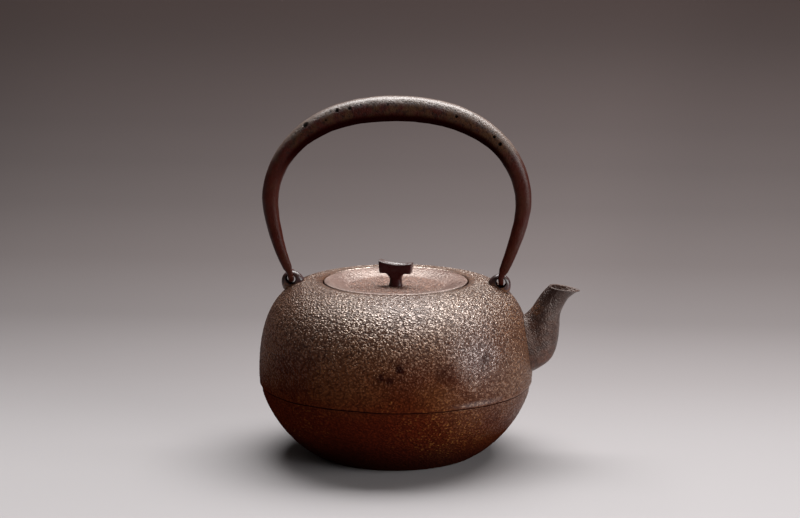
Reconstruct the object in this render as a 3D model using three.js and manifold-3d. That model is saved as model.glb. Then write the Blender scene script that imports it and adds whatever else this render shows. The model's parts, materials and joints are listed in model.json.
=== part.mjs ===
// A cast-iron kettle with a lift-off lid, a curved spout and a hollow forged handle that tilts on two lugs.
// Millimetres, +Z up. The origin is the centre of the flat base, and the spout points along +X.
import * as THREE from "three";
import { mergeVertices } from "three/addons/utils/BufferGeometryUtils.js";
import Module from "manifold-3d";

const wasm = await Module();
wasm.setup();

// Vessel
const bodyRadius = 88.7;
const equatorHeight = 54.4;
const mouthHeight = 112.4;
const baseRadius = 52;
const bellyFlare = { reach: 19.8, angle: 23.8, pull: 21.2 };
const shoulderFlare = { reach: 20.4, rise: 1.8, pull: 45.7 };
const wall = 3;
const floorThickness = 3.6;
const seamHeight = 46.7;
const seamStep = { depth: 0.4, fade: 10 };
const roundSteps = 48;
const outlineSteps = { belly: 10, aboveSeam: 2, shoulder: 15 };

// Mouth and lid
const lidRadius = 46.3;
const lidGap = 0.6;
const lidSink = 0.6;
const mouthRound = 1.5;
const lidPlate = 3;
const lidEdgeRound = 1;
const dishDepth = 3.2;
const dishRadius = 30;
const rimWidth = 7;
const ledgeDepth = 3.2;
const ledgeThickness = 3.2;
const mouthRadius = 41.5;
const collarGap = 0.7;
const collarWall = 2.4;
const collarDepth = 6;
const collarTaper = 0.3;

// Lid knob, its rivet and washer
const knobTurn = 8;
const knobBar = { halfLength: 11, halfDepth: 4, taper: 0.5, underside: 8.8, leftEnd: 17.2, rightEnd: 15.8, saddle: 14.8 };
const knobStem = { halfWidth: 4, halfDepth: 3.3, footWidth: 4.9, footDepth: 4, waist: 4.6, filletX: 3.6, filletY: 0.7 };
const rivet = { radius: 2.3, headRadius: 3.9, headHeight: 1.8 };
const rivetClearance = 0.3;
const washer = { radius: 6, thickness: 1.2 };

// Handle lugs
const lugDistance = 66.3;
const lugHalfWidth = 7.6;
const lugHeight = 9;
const lugHalfDepth = 5;
const lugFaceDepth = 3.2;
const lugHole = { radius: 2.8, outward: -0.2, land: 0.8 };

// Handle
const handleRise = 107;
const handleHalfSpan = 81.3;
const spanRise = 47.3;
const archPull = { top: 63.4, side: 22.2 };
const legPull = { top: 17, foot: 8.7, lean: 22.6 };
const handleWall = 1.6;
const endRise = 19.5;
const spigotLength = 8;
const hookRadius = 5.4;
const hookEndAngle = 202;
const hookSwing = { from: 3, to: 40 };
const joinGap = 0.3;
const handleSides = 14;
const handleSquareness = 0.86;
const handleSteps = { arch: 16, leg: 12, hook: 12 };

// Half thickness of the handle in the plane of the arch and across it, by height above the pivot
const handleSizes = [
  { rise: 0, inPlane: 1.8, across: 1.2 },
  { rise: 2, inPlane: 2.2, across: 1.4 },
  { rise: 4, inPlane: 3, across: 1.7 },
  { rise: 9, inPlane: 3.6, across: 2.7 },
  { rise: 24, inPlane: 4.5, across: 4.2 },
  { rise: 48, inPlane: 5.5, across: 5.2 },
  { rise: 71, inPlane: 6.1, across: 5.9 },
  { rise: 88, inPlane: 6.8, across: 6.6 },
  { rise: 107, inPlane: 8.4, across: 7.6 },
];
const hookInHole = { lateral: 1.55, radial: 1.15, reached: 40 };
const hookTip = { lateral: 1.3, radial: 0.9 };

// Pinholes in the handle's skin: place along the half arch, side, angle from the top towards the front, radius
const pinholes = [
  { along: 0.18, side: -1, turn: 58, radius: 0.9 },
  { along: 0.24, side: -1, turn: 50, radius: 1.1 },
  { along: 0.43, side: -1, turn: 40, radius: 1.6 },
  { along: 0.47, side: 1, turn: 66, radius: 0.8 },
  { along: 0.52, side: 1, turn: 74, radius: 1.0 },
];
const pinholeReach = 14;

// Spout, from its root inside the vessel to its mouth. Each station gives the upper and the lower edge of a section,
// outward from the vessel's radius and up from its equator, with the half depth of the section and its wall
const spoutStations = [
  { upper: [-9.2, 24.9], lower: [-9.2, -3.1], halfDepth: 13, wall: 3 },
  { upper: [-5.7, 30.9], lower: [2.3, 1.1], halfDepth: 13, wall: 3 },
  { upper: [-4.1, 34.4], lower: [12, 8.8], halfDepth: 12.4, wall: 3 },
  { upper: [-3.1, 37.2], lower: [15.9, 19.4], halfDepth: 11.4, wall: 3 },
  { upper: [-2.1, 39.9], lower: [17, 29.4], halfDepth: 10.2, wall: 2.9 },
  { upper: [0.1, 43.9], lower: [17.6, 38.4], halfDepth: 9, wall: 2.7 },
  { upper: [3.9, 49.9], lower: [21.3, 46.4], halfDepth: 8.2, wall: 2.3 },
  { upper: [6.7, 53.3], lower: [24.4, 49.9], halfDepth: 8.2, wall: 1.9 },
  { upper: [9.9, 56.4], lower: [29.6, 53.5], halfDepth: 8.5, wall: 1.5 },
];
const spoutLipPinch = 0.3;
const spoutRings = 22;
const spoutSides = 20;
const borePast = 6;

const degrees = Math.PI / 180;
const vec2 = (x, y) => new THREE.Vector2(x, y);
const vec3 = (x, y, z) => new THREE.Vector3(x, y, z);

// Solids
function solid(geometry) {
  const bare = geometry.clone();
  bare.deleteAttribute("normal");
  bare.deleteAttribute("uv");
  const merged = mergeVertices(bare, 1e-4);
  return new wasm.Manifold(
    new wasm.Mesh({
      numProp: 3,
      vertProperties: merged.attributes.position.array,
      triVerts: new Uint32Array(merged.index.array),
    }),
  );
}

function geometryOf(form) {
  const mesh = form.getMesh();
  const geometry = new THREE.BufferGeometry();
  geometry.setAttribute("position", new THREE.BufferAttribute(mesh.vertProperties, 3));
  geometry.setIndex(new THREE.BufferAttribute(mesh.triVerts, 1));
  geometry.computeVertexNormals();
  return geometry;
}

// A profile of [radius, height] points turned about +Z, whichever way round the profile runs.
function revolve(profile, steps = roundSteps) {
  const outward = THREE.ShapeUtils.area([...profile, vec2(0, profile[0].y)]) > 0 ? profile : [...profile].reverse();
  return solid(new THREE.LatheGeometry(outward, steps).rotateX(Math.PI / 2));
}

function box(low, high) {
  const size = high.clone().sub(low);
  const middle = high.clone().add(low).multiplyScalar(0.5);
  return solid(new THREE.BoxGeometry(size.x, size.y, size.z).translate(middle.x, middle.y, middle.z));
}

// A closed skin over rings of points. Each ring turns by the right-hand rule about the way the rings run.
function loft(rings) {
  const sides = rings[0].length;
  const points = rings.flat();
  const first = points.length;
  const centreOf = (ring) => ring.reduce((sum, p) => sum.add(p), vec3(0, 0, 0)).divideScalar(sides);
  points.push(centreOf(rings[0]), centreOf(rings[rings.length - 1]));
  const at = (ring, side) => ring * sides + (side % sides);
  const faces = [];
  for (let ring = 0; ring < rings.length - 1; ring++)
    for (let side = 0; side < sides; side++) {
      faces.push(at(ring, side), at(ring, side + 1), at(ring + 1, side));
      faces.push(at(ring, side + 1), at(ring + 1, side + 1), at(ring + 1, side));
    }
  for (let side = 0; side < sides; side++) {
    faces.push(first, at(0, side + 1), at(0, side));
    faces.push(first + 1, at(rings.length - 1, side), at(rings.length - 1, side + 1));
  }
  const geometry = new THREE.BufferGeometry().setFromPoints(points);
  geometry.setIndex(faces);
  return solid(geometry);
}

function bezier(...points) {
  return new THREE.CubicBezierCurve(...points.map(([x, y]) => vec2(x, y)));
}

function stretch(curve, from, to, count) {
  return Array.from({ length: count + 1 }, (_, i) => curve.getPoint(from + ((to - from) * i) / count));
}

// The place on a curve where a coordinate reaches a value, for a coordinate that only rises or only falls.
function placeOn(curve, coordinate, value) {
  const rises = curve.getPoint(1)[coordinate] > curve.getPoint(0)[coordinate];
  let low = 0;
  let high = 1;
  for (let i = 0; i < 40; i++) {
    const middle = (low + high) / 2;
    if (curve.getPoint(middle)[coordinate] < value === rises) low = middle;
    else high = middle;
  }
  return low;
}

// Moves an outline that runs up the outside of the vessel towards its axis, square to itself.
function inset(outline, distance) {
  return outline.map((point, i) => {
    const along = outline[Math.min(i + 1, outline.length - 1)].clone().sub(outline[Math.max(i - 1, 0)]).normalize();
    return vec2(point.x - along.y * distance, point.y + along.x * distance);
  });
}

// Vessel
const lidSeatRadius = lidRadius + lidGap;
const rimRadius = lidSeatRadius + mouthRound;
const ledgeHeight = mouthHeight - ledgeDepth;
const neckHeight = ledgeHeight - ledgeThickness;
const bellyRise = vec2(bellyFlare.reach, 0).rotateAround(vec2(0, 0), bellyFlare.angle * degrees);
const belly = bezier(
  [baseRadius, 0],
  [baseRadius + bellyRise.x, bellyRise.y],
  [bodyRadius, equatorHeight - bellyFlare.pull],
  [bodyRadius, equatorHeight],
);
const shoulder = bezier(
  [bodyRadius, equatorHeight],
  [bodyRadius, equatorHeight + shoulderFlare.pull],
  [rimRadius + shoulderFlare.reach, mouthHeight + shoulderFlare.rise],
  [rimRadius, mouthHeight],
);
const seamPlace = placeOn(belly, "y", seamHeight);
const bellyOutline = stretch(belly, 0, seamPlace, outlineSteps.belly);
const upperOutline = [
  ...stretch(belly, seamPlace, 1, outlineSteps.aboveSeam),
  ...stretch(shoulder, 0, 1, outlineSteps.shoulder).slice(1),
];

// The vessel's outer form as one solid, grown by a gap, for cutting what sits against it.
function vesselForm(gap) {
  const outline = inset([...bellyOutline, ...upperOutline.slice(1)], -gap);
  return revolve([vec2(0, outline[0].y), ...outline, vec2(0, outline[outline.length - 1].y)]);
}

function vesselUpper() {
  const inner = inset(upperOutline, wall).filter((point) => point.y < neckHeight);
  inner[0].y = seamHeight;
  const rim = new THREE.QuadraticBezierCurve(
    vec2(rimRadius, mouthHeight),
    vec2(lidSeatRadius, mouthHeight),
    vec2(lidSeatRadius, mouthHeight - mouthRound),
  );
  return revolve([
    ...upperOutline,
    ...rim.getPoints(4).slice(1),
    vec2(lidSeatRadius, ledgeHeight),
    vec2(mouthRadius, ledgeHeight),
    vec2(mouthRadius, neckHeight),
    ...inner.reverse(),
    upperOutline[0],
  ]);
}

// The lower half steps in a little under the seam, where the two halves of the mould met.
function vesselBase() {
  const outer = bellyOutline.map(({ x, y }) => {
    const nearness = THREE.MathUtils.smoothstep(y, seamHeight - seamStep.fade, seamHeight);
    return vec2(x - seamStep.depth * nearness, y);
  });
  const inner = inset(outer, wall).filter((point) => point.y > floorThickness);
  inner[inner.length - 1].y = seamHeight;
  return revolve([vec2(0, 0), ...outer, ...inner.reverse(), vec2(0, floorThickness)]);
}

// Spout
function spoutRing(place, shrink, reach = 0) {
  const along = (pick) => new THREE.SplineCurve(spoutStations.map((s) => vec2(...pick(s)))).getPoint(place);
  const upper = along((s) => s.upper);
  const lower = along((s) => s.lower);
  const [halfDepth, skin] = along((s) => [s.halfDepth, s.wall]).toArray();
  const middle = upper.clone().add(lower).multiplyScalar(0.5);
  const half = lower.clone().sub(upper).multiplyScalar(0.5);
  const inPlane = half.clone().setLength(half.length() - shrink * skin);
  const across = halfDepth - shrink * skin;
  const outward = vec2(-half.y, half.x).setLength(reach);
  const pinch = spoutLipPinch * place ** 4;
  return Array.from({ length: spoutSides }, (_, i) => {
    const turn = (2 * Math.PI * i) / spoutSides;
    const x = middle.x + inPlane.x * Math.cos(turn) + outward.x;
    const z = middle.y + inPlane.y * Math.cos(turn) + outward.y;
    const y = across * Math.sin(turn) * (1 - pinch * Math.cos(turn));
    return vec3(bodyRadius + x, y, equatorHeight + z);
  });
}

function spoutSkin(shrink) {
  return Array.from({ length: spoutRings }, (_, i) => spoutRing(i / (spoutRings - 1), shrink));
}

function spoutForm() {
  return loft(spoutSkin(0));
}

// The waterway, run a little past both ends of the spout so that it cuts clean through.
function spoutBore() {
  return loft([spoutRing(0, 1, -borePast), ...spoutSkin(1), spoutRing(1, 1, borePast)]);
}

// Lugs: half an ellipsoid that leans with the shoulder, flat in front and behind, with an eye for the hook
const lugPlace = placeOn(shoulder, "x", lugDistance);
const lugFoot = shoulder.getPoint(lugPlace);
const lugSlope = shoulder.getTangent(lugPlace).multiplyScalar(-1);
const lugLean = Math.atan2(-lugSlope.y, lugSlope.x);
const lugTurned = (outward, up) => vec2(outward, up).rotateAround(vec2(0, 0), -lugLean).add(lugFoot);
const lugHoleCentre = lugTurned(lugHole.outward, lugHole.radius + lugHole.land);
const lugOutline = new THREE.EllipseCurve(lugFoot.x, lugFoot.y, lugHalfWidth, lugHeight, 0, Math.PI, false, -lugLean);

function lug(side) {
  const dome = new THREE.SphereGeometry(1, 28, 18).rotateX(Math.PI / 2).scale(lugHalfWidth, lugHalfDepth, lugHeight);
  dome.rotateY(lugLean).translate(lugFoot.x, 0, lugFoot.y);
  const reach = lugHalfWidth + lugHeight;
  const faces = box(
    vec3(lugFoot.x - reach, -lugFaceDepth, lugFoot.y - reach),
    vec3(lugFoot.x + reach, lugFaceDepth, lugFoot.y + reach),
  );
  const eye = new THREE.CylinderGeometry(lugHole.radius, lugHole.radius, 4 * lugHalfDepth, 20);
  eye.translate(lugHoleCentre.x, 0, lugHoleCentre.y);
  const form = solid(dome).intersect(faces).subtract(solid(eye)).subtract(vesselForm(joinGap));
  return side > 0 ? form : form.mirror([1, 0, 0]);
}

// Handle. It turns about the middle of the bar that the eye leaves at the top of each lug
const hookX = lugHoleCentre.x;
const barTop = lugOutline.getPoint(placeOn(lugOutline, "x", hookX)).y;
const pivotHeight = (lugHoleCentre.y + lugHole.radius + barTop) / 2;
const spanHeight = pivotHeight + spanRise;
const legFoot = vec2(0, legPull.foot).rotateAround(vec2(0, 0), -legPull.lean * degrees);
const arch = bezier(
  [0, pivotHeight + handleRise],
  [archPull.top, pivotHeight + handleRise],
  [handleHalfSpan, spanHeight + archPull.side],
  [handleHalfSpan, spanHeight],
);
const leg = bezier(
  [handleHalfSpan, spanHeight],
  [handleHalfSpan, spanHeight - legPull.top],
  [hookX + legFoot.x, pivotHeight + legFoot.y],
  [hookX, pivotHeight],
);

function sizeAt(height) {
  const rise = height - pivotHeight;
  const found = handleSizes.findIndex((size) => size.rise >= rise);
  const above = found < 0 ? handleSizes.length - 1 : Math.max(1, found);
  const [low, high] = [handleSizes[above - 1], handleSizes[above]];
  const share = THREE.MathUtils.clamp((rise - low.rise) / (high.rise - low.rise), 0, 1);
  return [THREE.MathUtils.lerp(low.inPlane, high.inPlane, share), THREE.MathUtils.lerp(low.across, high.across, share)];
}

// A station of the hook, which turns down through the eye, back and up again behind the lug.
function hookStation(turn) {
  const [inPlane, across] = sizeAt(pivotHeight);
  const inHole = THREE.MathUtils.smoothstep(turn, 0, hookInHole.reached * degrees);
  const atTip = THREE.MathUtils.smoothstep(turn, Math.PI / 2, hookEndAngle * degrees);
  const blend = (leg, hole, tip) => THREE.MathUtils.lerp(THREE.MathUtils.lerp(leg, hole, inHole), tip, atTip);
  return {
    centre: vec3(hookX, -hookRadius * Math.cos(turn), pivotHeight - hookRadius * Math.sin(turn)),
    size: [
      blend(inPlane, hookInHole.lateral, hookTip.lateral),
      blend(across, hookInHole.radial, hookTip.radial),
    ],
  };
}

// Stations of the right half of the handle, from the top of the arch to the tip of the hook. The leg swings to
// the front over its last stretch, so that the hook starts in front of the lug
function handleStations() {
  const swing = (height) =>
    1 - THREE.MathUtils.smoothstep(height, pivotHeight + hookSwing.from, pivotHeight + hookSwing.to);
  const route = [...stretch(arch, 0, 1, handleSteps.arch), ...stretch(leg, 0, 1, handleSteps.leg).slice(1)];
  const stations = route.map(({ x, y }) => ({ centre: vec3(x, -hookRadius * swing(y), y), size: sizeAt(y) }));
  for (let i = 1; i <= handleSteps.hook; i++)
    stations.push(hookStation(((hookEndAngle * i) / handleSteps.hook) * degrees));
  let inward = vec3(0, 0, -1);
  stations.forEach((station, i) => {
    const ahead = stations[Math.min(i + 1, stations.length - 1)].centre;
    const behind = stations[Math.max(i - 1, 0)].centre;
    station.along = i ? ahead.clone().sub(behind).normalize() : vec3(1, 0, 0);
    inward = inward.clone().addScaledVector(station.along, -inward.dot(station.along)).normalize();
    station.inward = inward;
    station.across = station.along.clone().cross(inward);
  });
  return stations;
}

// A rounded section, a little squarer than an ellipse.
function handleRing({ centre, size, inward, across }, shrink) {
  return Array.from({ length: handleSides }, (_, i) => {
    const turn = (2 * Math.PI * i) / handleSides;
    const lobe = (value) => Math.sign(value) * Math.abs(value) ** handleSquareness;
    return centre
      .clone()
      .addScaledVector(inward, (size[0] - shrink) * lobe(Math.cos(turn)))
      .addScaledVector(across, (size[1] - shrink) * lobe(Math.sin(turn)));
  });
}

const mirrored = (ring) => ring.map((point) => vec3(-point.x, point.y, point.z));
const bothHalves = (rings) => [...rings.slice(1).map(mirrored).reverse(), ...rings];
const rightStations = handleStations();
const endHeight = pivotHeight + endRise;
const far = 2 * handleRise;
const aboveEnds = box(vec3(-far, -far, endHeight), vec3(far, far, endHeight + far));

// The core of the handle inside its skin, run a little below the joint with the forged ends.
function handleCore(shrink) {
  const stations = rightStations.filter(({ centre }, i) => i <= handleSteps.arch || centre.z > endHeight - spigotLength);
  return loft(bothHalves(stations.map((station) => handleRing(station, shrink))));
}

function pinholeCutter({ along, side, turn, radius }) {
  const point = arch.getPoint(along);
  const cutter = new THREE.CylinderGeometry(radius, radius, pinholeReach, 8).translate(0, pinholeReach / 2, 0);
  cutter.rotateX(Math.PI / 2).rotateX(turn * degrees);
  return solid(cutter.translate(side * point.x, 0, point.y));
}

function handleTube() {
  const outer = loft(bothHalves(rightStations.map((station) => handleRing(station, 0)))).intersect(aboveEnds);
  const hollow = handleCore(handleWall);
  return pinholes.reduce((tube, hole) => tube.subtract(pinholeCutter(hole)), outer.subtract(hollow));
}

// A forged end: the last stretch of the leg with its hook, and a spigot that sits in the tube.
function handleHook(side) {
  const whole = loft(rightStations.map((station) => handleRing(station, 0)));
  const sleeve = box(vec3(0, -far, endHeight - 1), vec3(far, far, endHeight + spigotLength));
  const spigot = handleCore(handleWall + joinGap).intersect(sleeve);
  const form = whole.subtract(aboveEnds).add(spigot);
  return side > 0 ? form : form.mirror([1, 0, 0]);
}

// Lid
const lidTop = mouthHeight - lidSink;
const dishHeight = lidTop - dishDepth;
const dishUnderside = dishHeight - lidPlate;
const rivetHole = rivet.radius + rivetClearance;

function lid() {
  const collarOuter = mouthRadius - collarGap;
  const collarInner = collarOuter - collarWall;
  const profile = new THREE.Path();
  profile.moveTo(rivetHole, dishHeight);
  profile.lineTo(dishRadius, dishHeight);
  profile.bezierCurveTo(
    dishRadius + rimWidth / 2, dishHeight,
    lidRadius - lidEdgeRound - rimWidth, lidTop,
    lidRadius - lidEdgeRound, lidTop,
  );
  profile.quadraticCurveTo(lidRadius, lidTop, lidRadius, lidTop - lidEdgeRound);
  profile.lineTo(lidRadius, ledgeHeight);
  profile.lineTo(collarOuter, ledgeHeight);
  profile.lineTo(collarOuter - collarTaper, ledgeHeight - collarDepth);
  profile.lineTo(collarInner, ledgeHeight - collarDepth);
  profile.lineTo(collarInner - collarTaper, dishUnderside);
  profile.lineTo(rivetHole, dishUnderside);
  profile.closePath();
  return revolve(profile.getPoints(5));
}

function knobWasher() {
  const underside = dishUnderside - washer.thickness;
  const profile = new THREE.Path();
  profile.moveTo(rivetHole, underside);
  profile.lineTo(washer.radius, underside);
  profile.lineTo(washer.radius, dishUnderside);
  profile.lineTo(rivetHole, dishUnderside);
  profile.closePath();
  return revolve(profile.getPoints(), 28);
}

// The knob seen square on: foot, waist, fillet under the bar, then up the ends of the bar and over its saddle.
function knobOutline({ foot, stem, fillet, end, leftTop, rightTop, middleTop }) {
  const { underside, taper } = knobBar;
  const shape = new THREE.Shape();
  shape.moveTo(-foot, 0);
  shape.lineTo(foot, 0);
  shape.quadraticCurveTo(stem, knobStem.waist / 2, stem, knobStem.waist);
  shape.quadraticCurveTo(stem, underside, stem + fillet, underside);
  shape.lineTo(end - taper, underside);
  shape.lineTo(end, rightTop);
  shape.quadraticCurveTo(0, 2 * middleTop - (leftTop + rightTop) / 2, -end, leftTop);
  shape.lineTo(taper - end, underside);
  shape.lineTo(-stem - fillet, underside);
  shape.quadraticCurveTo(-stem, underside, -stem, knobStem.waist);
  shape.quadraticCurveTo(-stem, knobStem.waist / 2, -foot, 0);
  return shape;
}

function knob() {
  const { halfLength, halfDepth, leftEnd, rightEnd, saddle } = knobBar;
  const front = knobOutline({
    foot: knobStem.footWidth, stem: knobStem.halfWidth, fillet: knobStem.filletX, end: halfLength,
    leftTop: leftEnd, rightTop: rightEnd, middleTop: saddle,
  });
  const above = leftEnd + 1;
  const side = knobOutline({
    foot: knobStem.footDepth, stem: knobStem.halfDepth, fillet: knobStem.filletY, end: halfDepth,
    leftTop: above, rightTop: above, middleTop: above,
  });
  const extruded = (shape, depth) => {
    const geometry = new THREE.ExtrudeGeometry(shape, { depth, bevelEnabled: false, curveSegments: 7 });
    return geometry.translate(0, 0, -depth / 2).rotateX(Math.PI / 2);
  };
  const bar = solid(extruded(front, 3 * halfDepth));
  const cross = solid(extruded(side, 3 * halfLength).rotateZ(Math.PI / 2));
  return bar.intersect(cross).add(rivetForm());
}

// The tenon through the lid and the head that is peened over the washer, down from the foot of the knob.
function rivetForm() {
  const headTop = dishUnderside - washer.thickness - dishHeight;
  const headBottom = headTop - rivet.headHeight;
  const profile = new THREE.Path();
  profile.moveTo(0, knobStem.waist / 2);
  profile.lineTo(rivet.radius, knobStem.waist / 2);
  profile.lineTo(rivet.radius, headTop);
  profile.lineTo(rivet.headRadius, headTop);
  profile.bezierCurveTo(rivet.headRadius, headBottom, rivet.radius, headBottom, 0, headBottom);
  return revolve(profile.getPoints(5), 20);
}

// Materials
const castIron = new THREE.MeshStandardMaterial({ color: 0x5b4234, roughness: 0.72, metalness: 0.35 });
const smoothIron = new THREE.MeshStandardMaterial({ color: 0x4b3d38, roughness: 0.5, metalness: 0.5 });
const lidIron = new THREE.MeshStandardMaterial({ color: 0x6a5046, roughness: 0.66, metalness: 0.35 });
const forgedIron = new THREE.MeshStandardMaterial({ color: 0x46291f, roughness: 0.42, metalness: 0.6 });
const knobIron = new THREE.MeshStandardMaterial({ color: 0x2c1a17, roughness: 0.35, metalness: 0.65 });

function piece(name, form, material) {
  const mesh = new THREE.Mesh(geometryOf(form), material);
  mesh.name = name;
  return mesh;
}

const kettle = new THREE.Group();
kettle.add(
  piece("vessel_base", vesselBase(), castIron),
  piece("vessel_upper", vesselUpper().subtract(spoutBore()), castIron),
  piece("spout", spoutForm().subtract(spoutBore()).subtract(vesselForm(joinGap)), smoothIron),
  piece("lug_left", lug(-1), smoothIron),
  piece("lug_right", lug(1), smoothIron),
);

const handle = new THREE.Group();
handle.add(
  piece("handle_tube", handleTube(), forgedIron),
  piece("handle_hook_left", handleHook(-1), forgedIron),
  piece("handle_hook_right", handleHook(1), forgedIron),
);

const lidGroup = new THREE.Group();
const lidKnob = piece("lid_knob", knob(), knobIron);
lidKnob.position.z = dishHeight;
lidKnob.rotation.z = -knobTurn * degrees;
lidGroup.add(piece("lid", lid(), lidIron), piece("knob_washer", knobWasher(), knobIron), lidKnob);

kettle.add(handle, lidGroup);
export default kettle;
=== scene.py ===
# A cast-iron kettle with a forged handle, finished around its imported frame.
# Sizes in the dictionaries are millimetres, as on a drawing. Blender's own units are metres.
import json
import math

import bmesh
import bpy
import numpy as np
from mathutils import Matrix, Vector


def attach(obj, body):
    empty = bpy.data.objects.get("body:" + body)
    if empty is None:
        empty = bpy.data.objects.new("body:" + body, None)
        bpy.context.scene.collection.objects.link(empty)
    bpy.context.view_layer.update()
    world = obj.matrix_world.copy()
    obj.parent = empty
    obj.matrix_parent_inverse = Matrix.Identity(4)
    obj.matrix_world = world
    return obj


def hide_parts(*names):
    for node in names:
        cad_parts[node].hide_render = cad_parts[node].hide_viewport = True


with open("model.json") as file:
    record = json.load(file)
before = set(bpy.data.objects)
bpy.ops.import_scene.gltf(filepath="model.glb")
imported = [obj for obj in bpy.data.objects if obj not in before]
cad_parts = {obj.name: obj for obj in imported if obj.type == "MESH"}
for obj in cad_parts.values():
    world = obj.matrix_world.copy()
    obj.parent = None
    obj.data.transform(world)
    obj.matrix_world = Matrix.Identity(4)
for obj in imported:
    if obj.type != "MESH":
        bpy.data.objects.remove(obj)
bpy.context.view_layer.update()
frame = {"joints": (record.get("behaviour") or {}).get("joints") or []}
mm = 0.001


# Small helpers for node trees. Each takes numbers or sockets, and gives back the socket of its result

def feed(tree, value, socket):
    if isinstance(value, bpy.types.NodeSocket):
        tree.links.new(value, socket)
    else:
        socket.default_value = value


def addNode(tree, kind, values=None, **settings):
    made = tree.nodes.new(kind)
    for name, value in settings.items():
        setattr(made, name, value)
    for name, value in (values or {}).items():
        feed(tree, value, made.inputs[name])
    return made


def calc(tree, operation, *values):
    return addNode(tree, "ShaderNodeMath", dict(enumerate(values)), operation=operation).outputs[0]


def calcEach(tree, operation, first, others):
    for other in others:
        first = calc(tree, operation, first, other)
    return first


def plus(tree, first, *others):
    return calcEach(tree, "ADD", first, others)


def minus(tree, first, *others):
    return calcEach(tree, "SUBTRACT", first, others)


def times(tree, first, *others):
    return calcEach(tree, "MULTIPLY", first, others)


def larger(tree, first, *others):
    return calcEach(tree, "MAXIMUM", first, others)


def divided(tree, value, by):
    return calc(tree, "DIVIDE", value, by)


def movedBy(tree, place, offset):
    return addNode(tree, "ShaderNodeVectorMath", {0: place, 1: offset}, operation="ADD").outputs["Vector"]


def distanceTo(tree, place, centre):
    made = addNode(tree, "ShaderNodeVectorMath", {0: place, 1: centre}, operation="DISTANCE")
    return made.outputs["Value"]


def scaled(tree, vector, factor):
    return addNode(tree, "ShaderNodeVectorMath", {0: vector, "Scale": factor}, operation="SCALE").outputs[0]


def combined(tree, x, y, z):
    return addNode(tree, "ShaderNodeCombineXYZ", {"X": x, "Y": y, "Z": z}).outputs[0]


def separated(tree, vector):
    parts = addNode(tree, "ShaderNodeSeparateXYZ", {"Vector": vector}).outputs
    return parts["X"], parts["Y"], parts["Z"]


# A value spread from one range to another, with soft ends
def spread(tree, value, low, high, toLow=0.0, toHigh=1.0, smooth=True):
    made = addNode(tree, "ShaderNodeMapRange", {
        "Value": value, "From Min": low, "From Max": high, "To Min": toLow, "To Max": toHigh},
        interpolation_type="SMOOTHSTEP" if smooth else "LINEAR")
    return made.outputs["Result"]


# 1 up to the low end of a range, falling to 0 at its high end
def fade(tree, value, low, high):
    return spread(tree, value, low, high, 1.0, 0.0)


def noiseOf(tree, place, size, detail=2.0, roughness=0.5, distortion=0.0):
    made = addNode(tree, "ShaderNodeTexNoise", {
        "Vector": place, "Scale": 1 / size, "Detail": detail,
        "Roughness": roughness, "Distortion": distortion})
    return made.outputs[0]


def cellsOf(tree, place, size, feature="F1", out="Distance"):
    made = addNode(tree, "ShaderNodeTexVoronoi", {"Vector": place, "Scale": 1 / size}, feature=feature)
    return made.outputs[out]


# Coordinates drawn out round the piece, which follow its outline upwards
def drawnOut(tree, place, up, stretch):
    x, y, z = separated(tree, place)
    return combined(tree, divided(tree, x, stretch), divided(tree, y, stretch), up)


# Mesh building

def bezier(p0, p1, p2, p3, count=240):
    t = np.linspace(0, 1, count)[:, None]
    p0, p1, p2, p3 = (np.array(p, float) for p in (p0, p1, p2, p3))
    return (1 - t) ** 3 * p0 + 3 * (1 - t) ** 2 * t * p1 + 3 * (1 - t) * t * t * p2 + t ** 3 * p3


def lengthAlong(line):
    return np.concatenate([[0], np.cumsum(np.linalg.norm(np.diff(line, axis=0), axis=1))])


# The points at given lengths along a line
def pointsAt(line, lengths):
    along = lengthAlong(line)
    return np.stack([np.interp(lengths, along, line[:, i]) for i in range(line.shape[1])], -1)


# The same line with its points a set distance apart
def evenly(line, spacing):
    line = np.asarray(line, float)
    length = lengthAlong(line)[-1]
    return pointsAt(line, np.linspace(0, length, max(2, int(round(length / spacing)) + 1)))


def arc(centre, radius, start, end, count):
    turns = np.radians(np.linspace(start, end, count))
    return np.array(centre) + radius * np.stack([np.cos(turns), np.sin(turns)], -1)


# The turns of a ring's points, the last one short of the first
def turnsOf(sides):
    return np.linspace(0, 2 * math.pi, sides, endpoint=False)


# An outline that runs up the outside of a turned wall, moved towards the axis
def inset(outline, distance):
    along = np.gradient(outline, axis=0)
    along /= np.linalg.norm(along, axis=1)[:, None]
    return outline + distance * np.stack([-along[:, 1], along[:, 0]], -1)


def smoothstep(value, low, high):
    t = np.clip((np.asarray(value, float) - low) / (high - low), 0, 1)
    return t * t * (3 - 2 * t)


def meshObject(name, points, faces, marks=None):
    mesh = bpy.data.meshes.new(name)
    mesh.from_pydata((np.asarray(points) * mm).tolist(), [], faces)
    for mark, values in (marks or {}).items():
        attribute = mesh.attributes.new(mark, "FLOAT", "POINT")
        attribute.data.foreach_set("value", np.asarray(values, np.float32))
    mesh.validate()
    made = bpy.data.objects.new(name, mesh)
    bpy.context.scene.collection.objects.link(made)
    return made


def pointsOf(made):
    points = np.empty(len(made.data.vertices) * 3)
    made.data.vertices.foreach_get("co", points)
    return points.reshape(-1, 3)


def movePoints(made, points):
    made.data.vertices.foreach_set("co", points.reshape(-1))
    made.data.update()
    return made


# Turns the faces outwards, by the sign of the closed mesh's volume
def faceOutwards(made):
    mesh = made.data
    mesh.calc_loop_triangles()
    corners = np.empty(len(mesh.loop_triangles) * 3, np.int32)
    mesh.loop_triangles.foreach_get("vertices", corners)
    a, b, c = pointsOf(made)[corners.reshape(-1, 3)].transpose(1, 0, 2)
    if np.einsum("ij,ij->i", a, np.cross(b, c)).sum() < 0:
        mesh.flip_normals()
    return made


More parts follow.
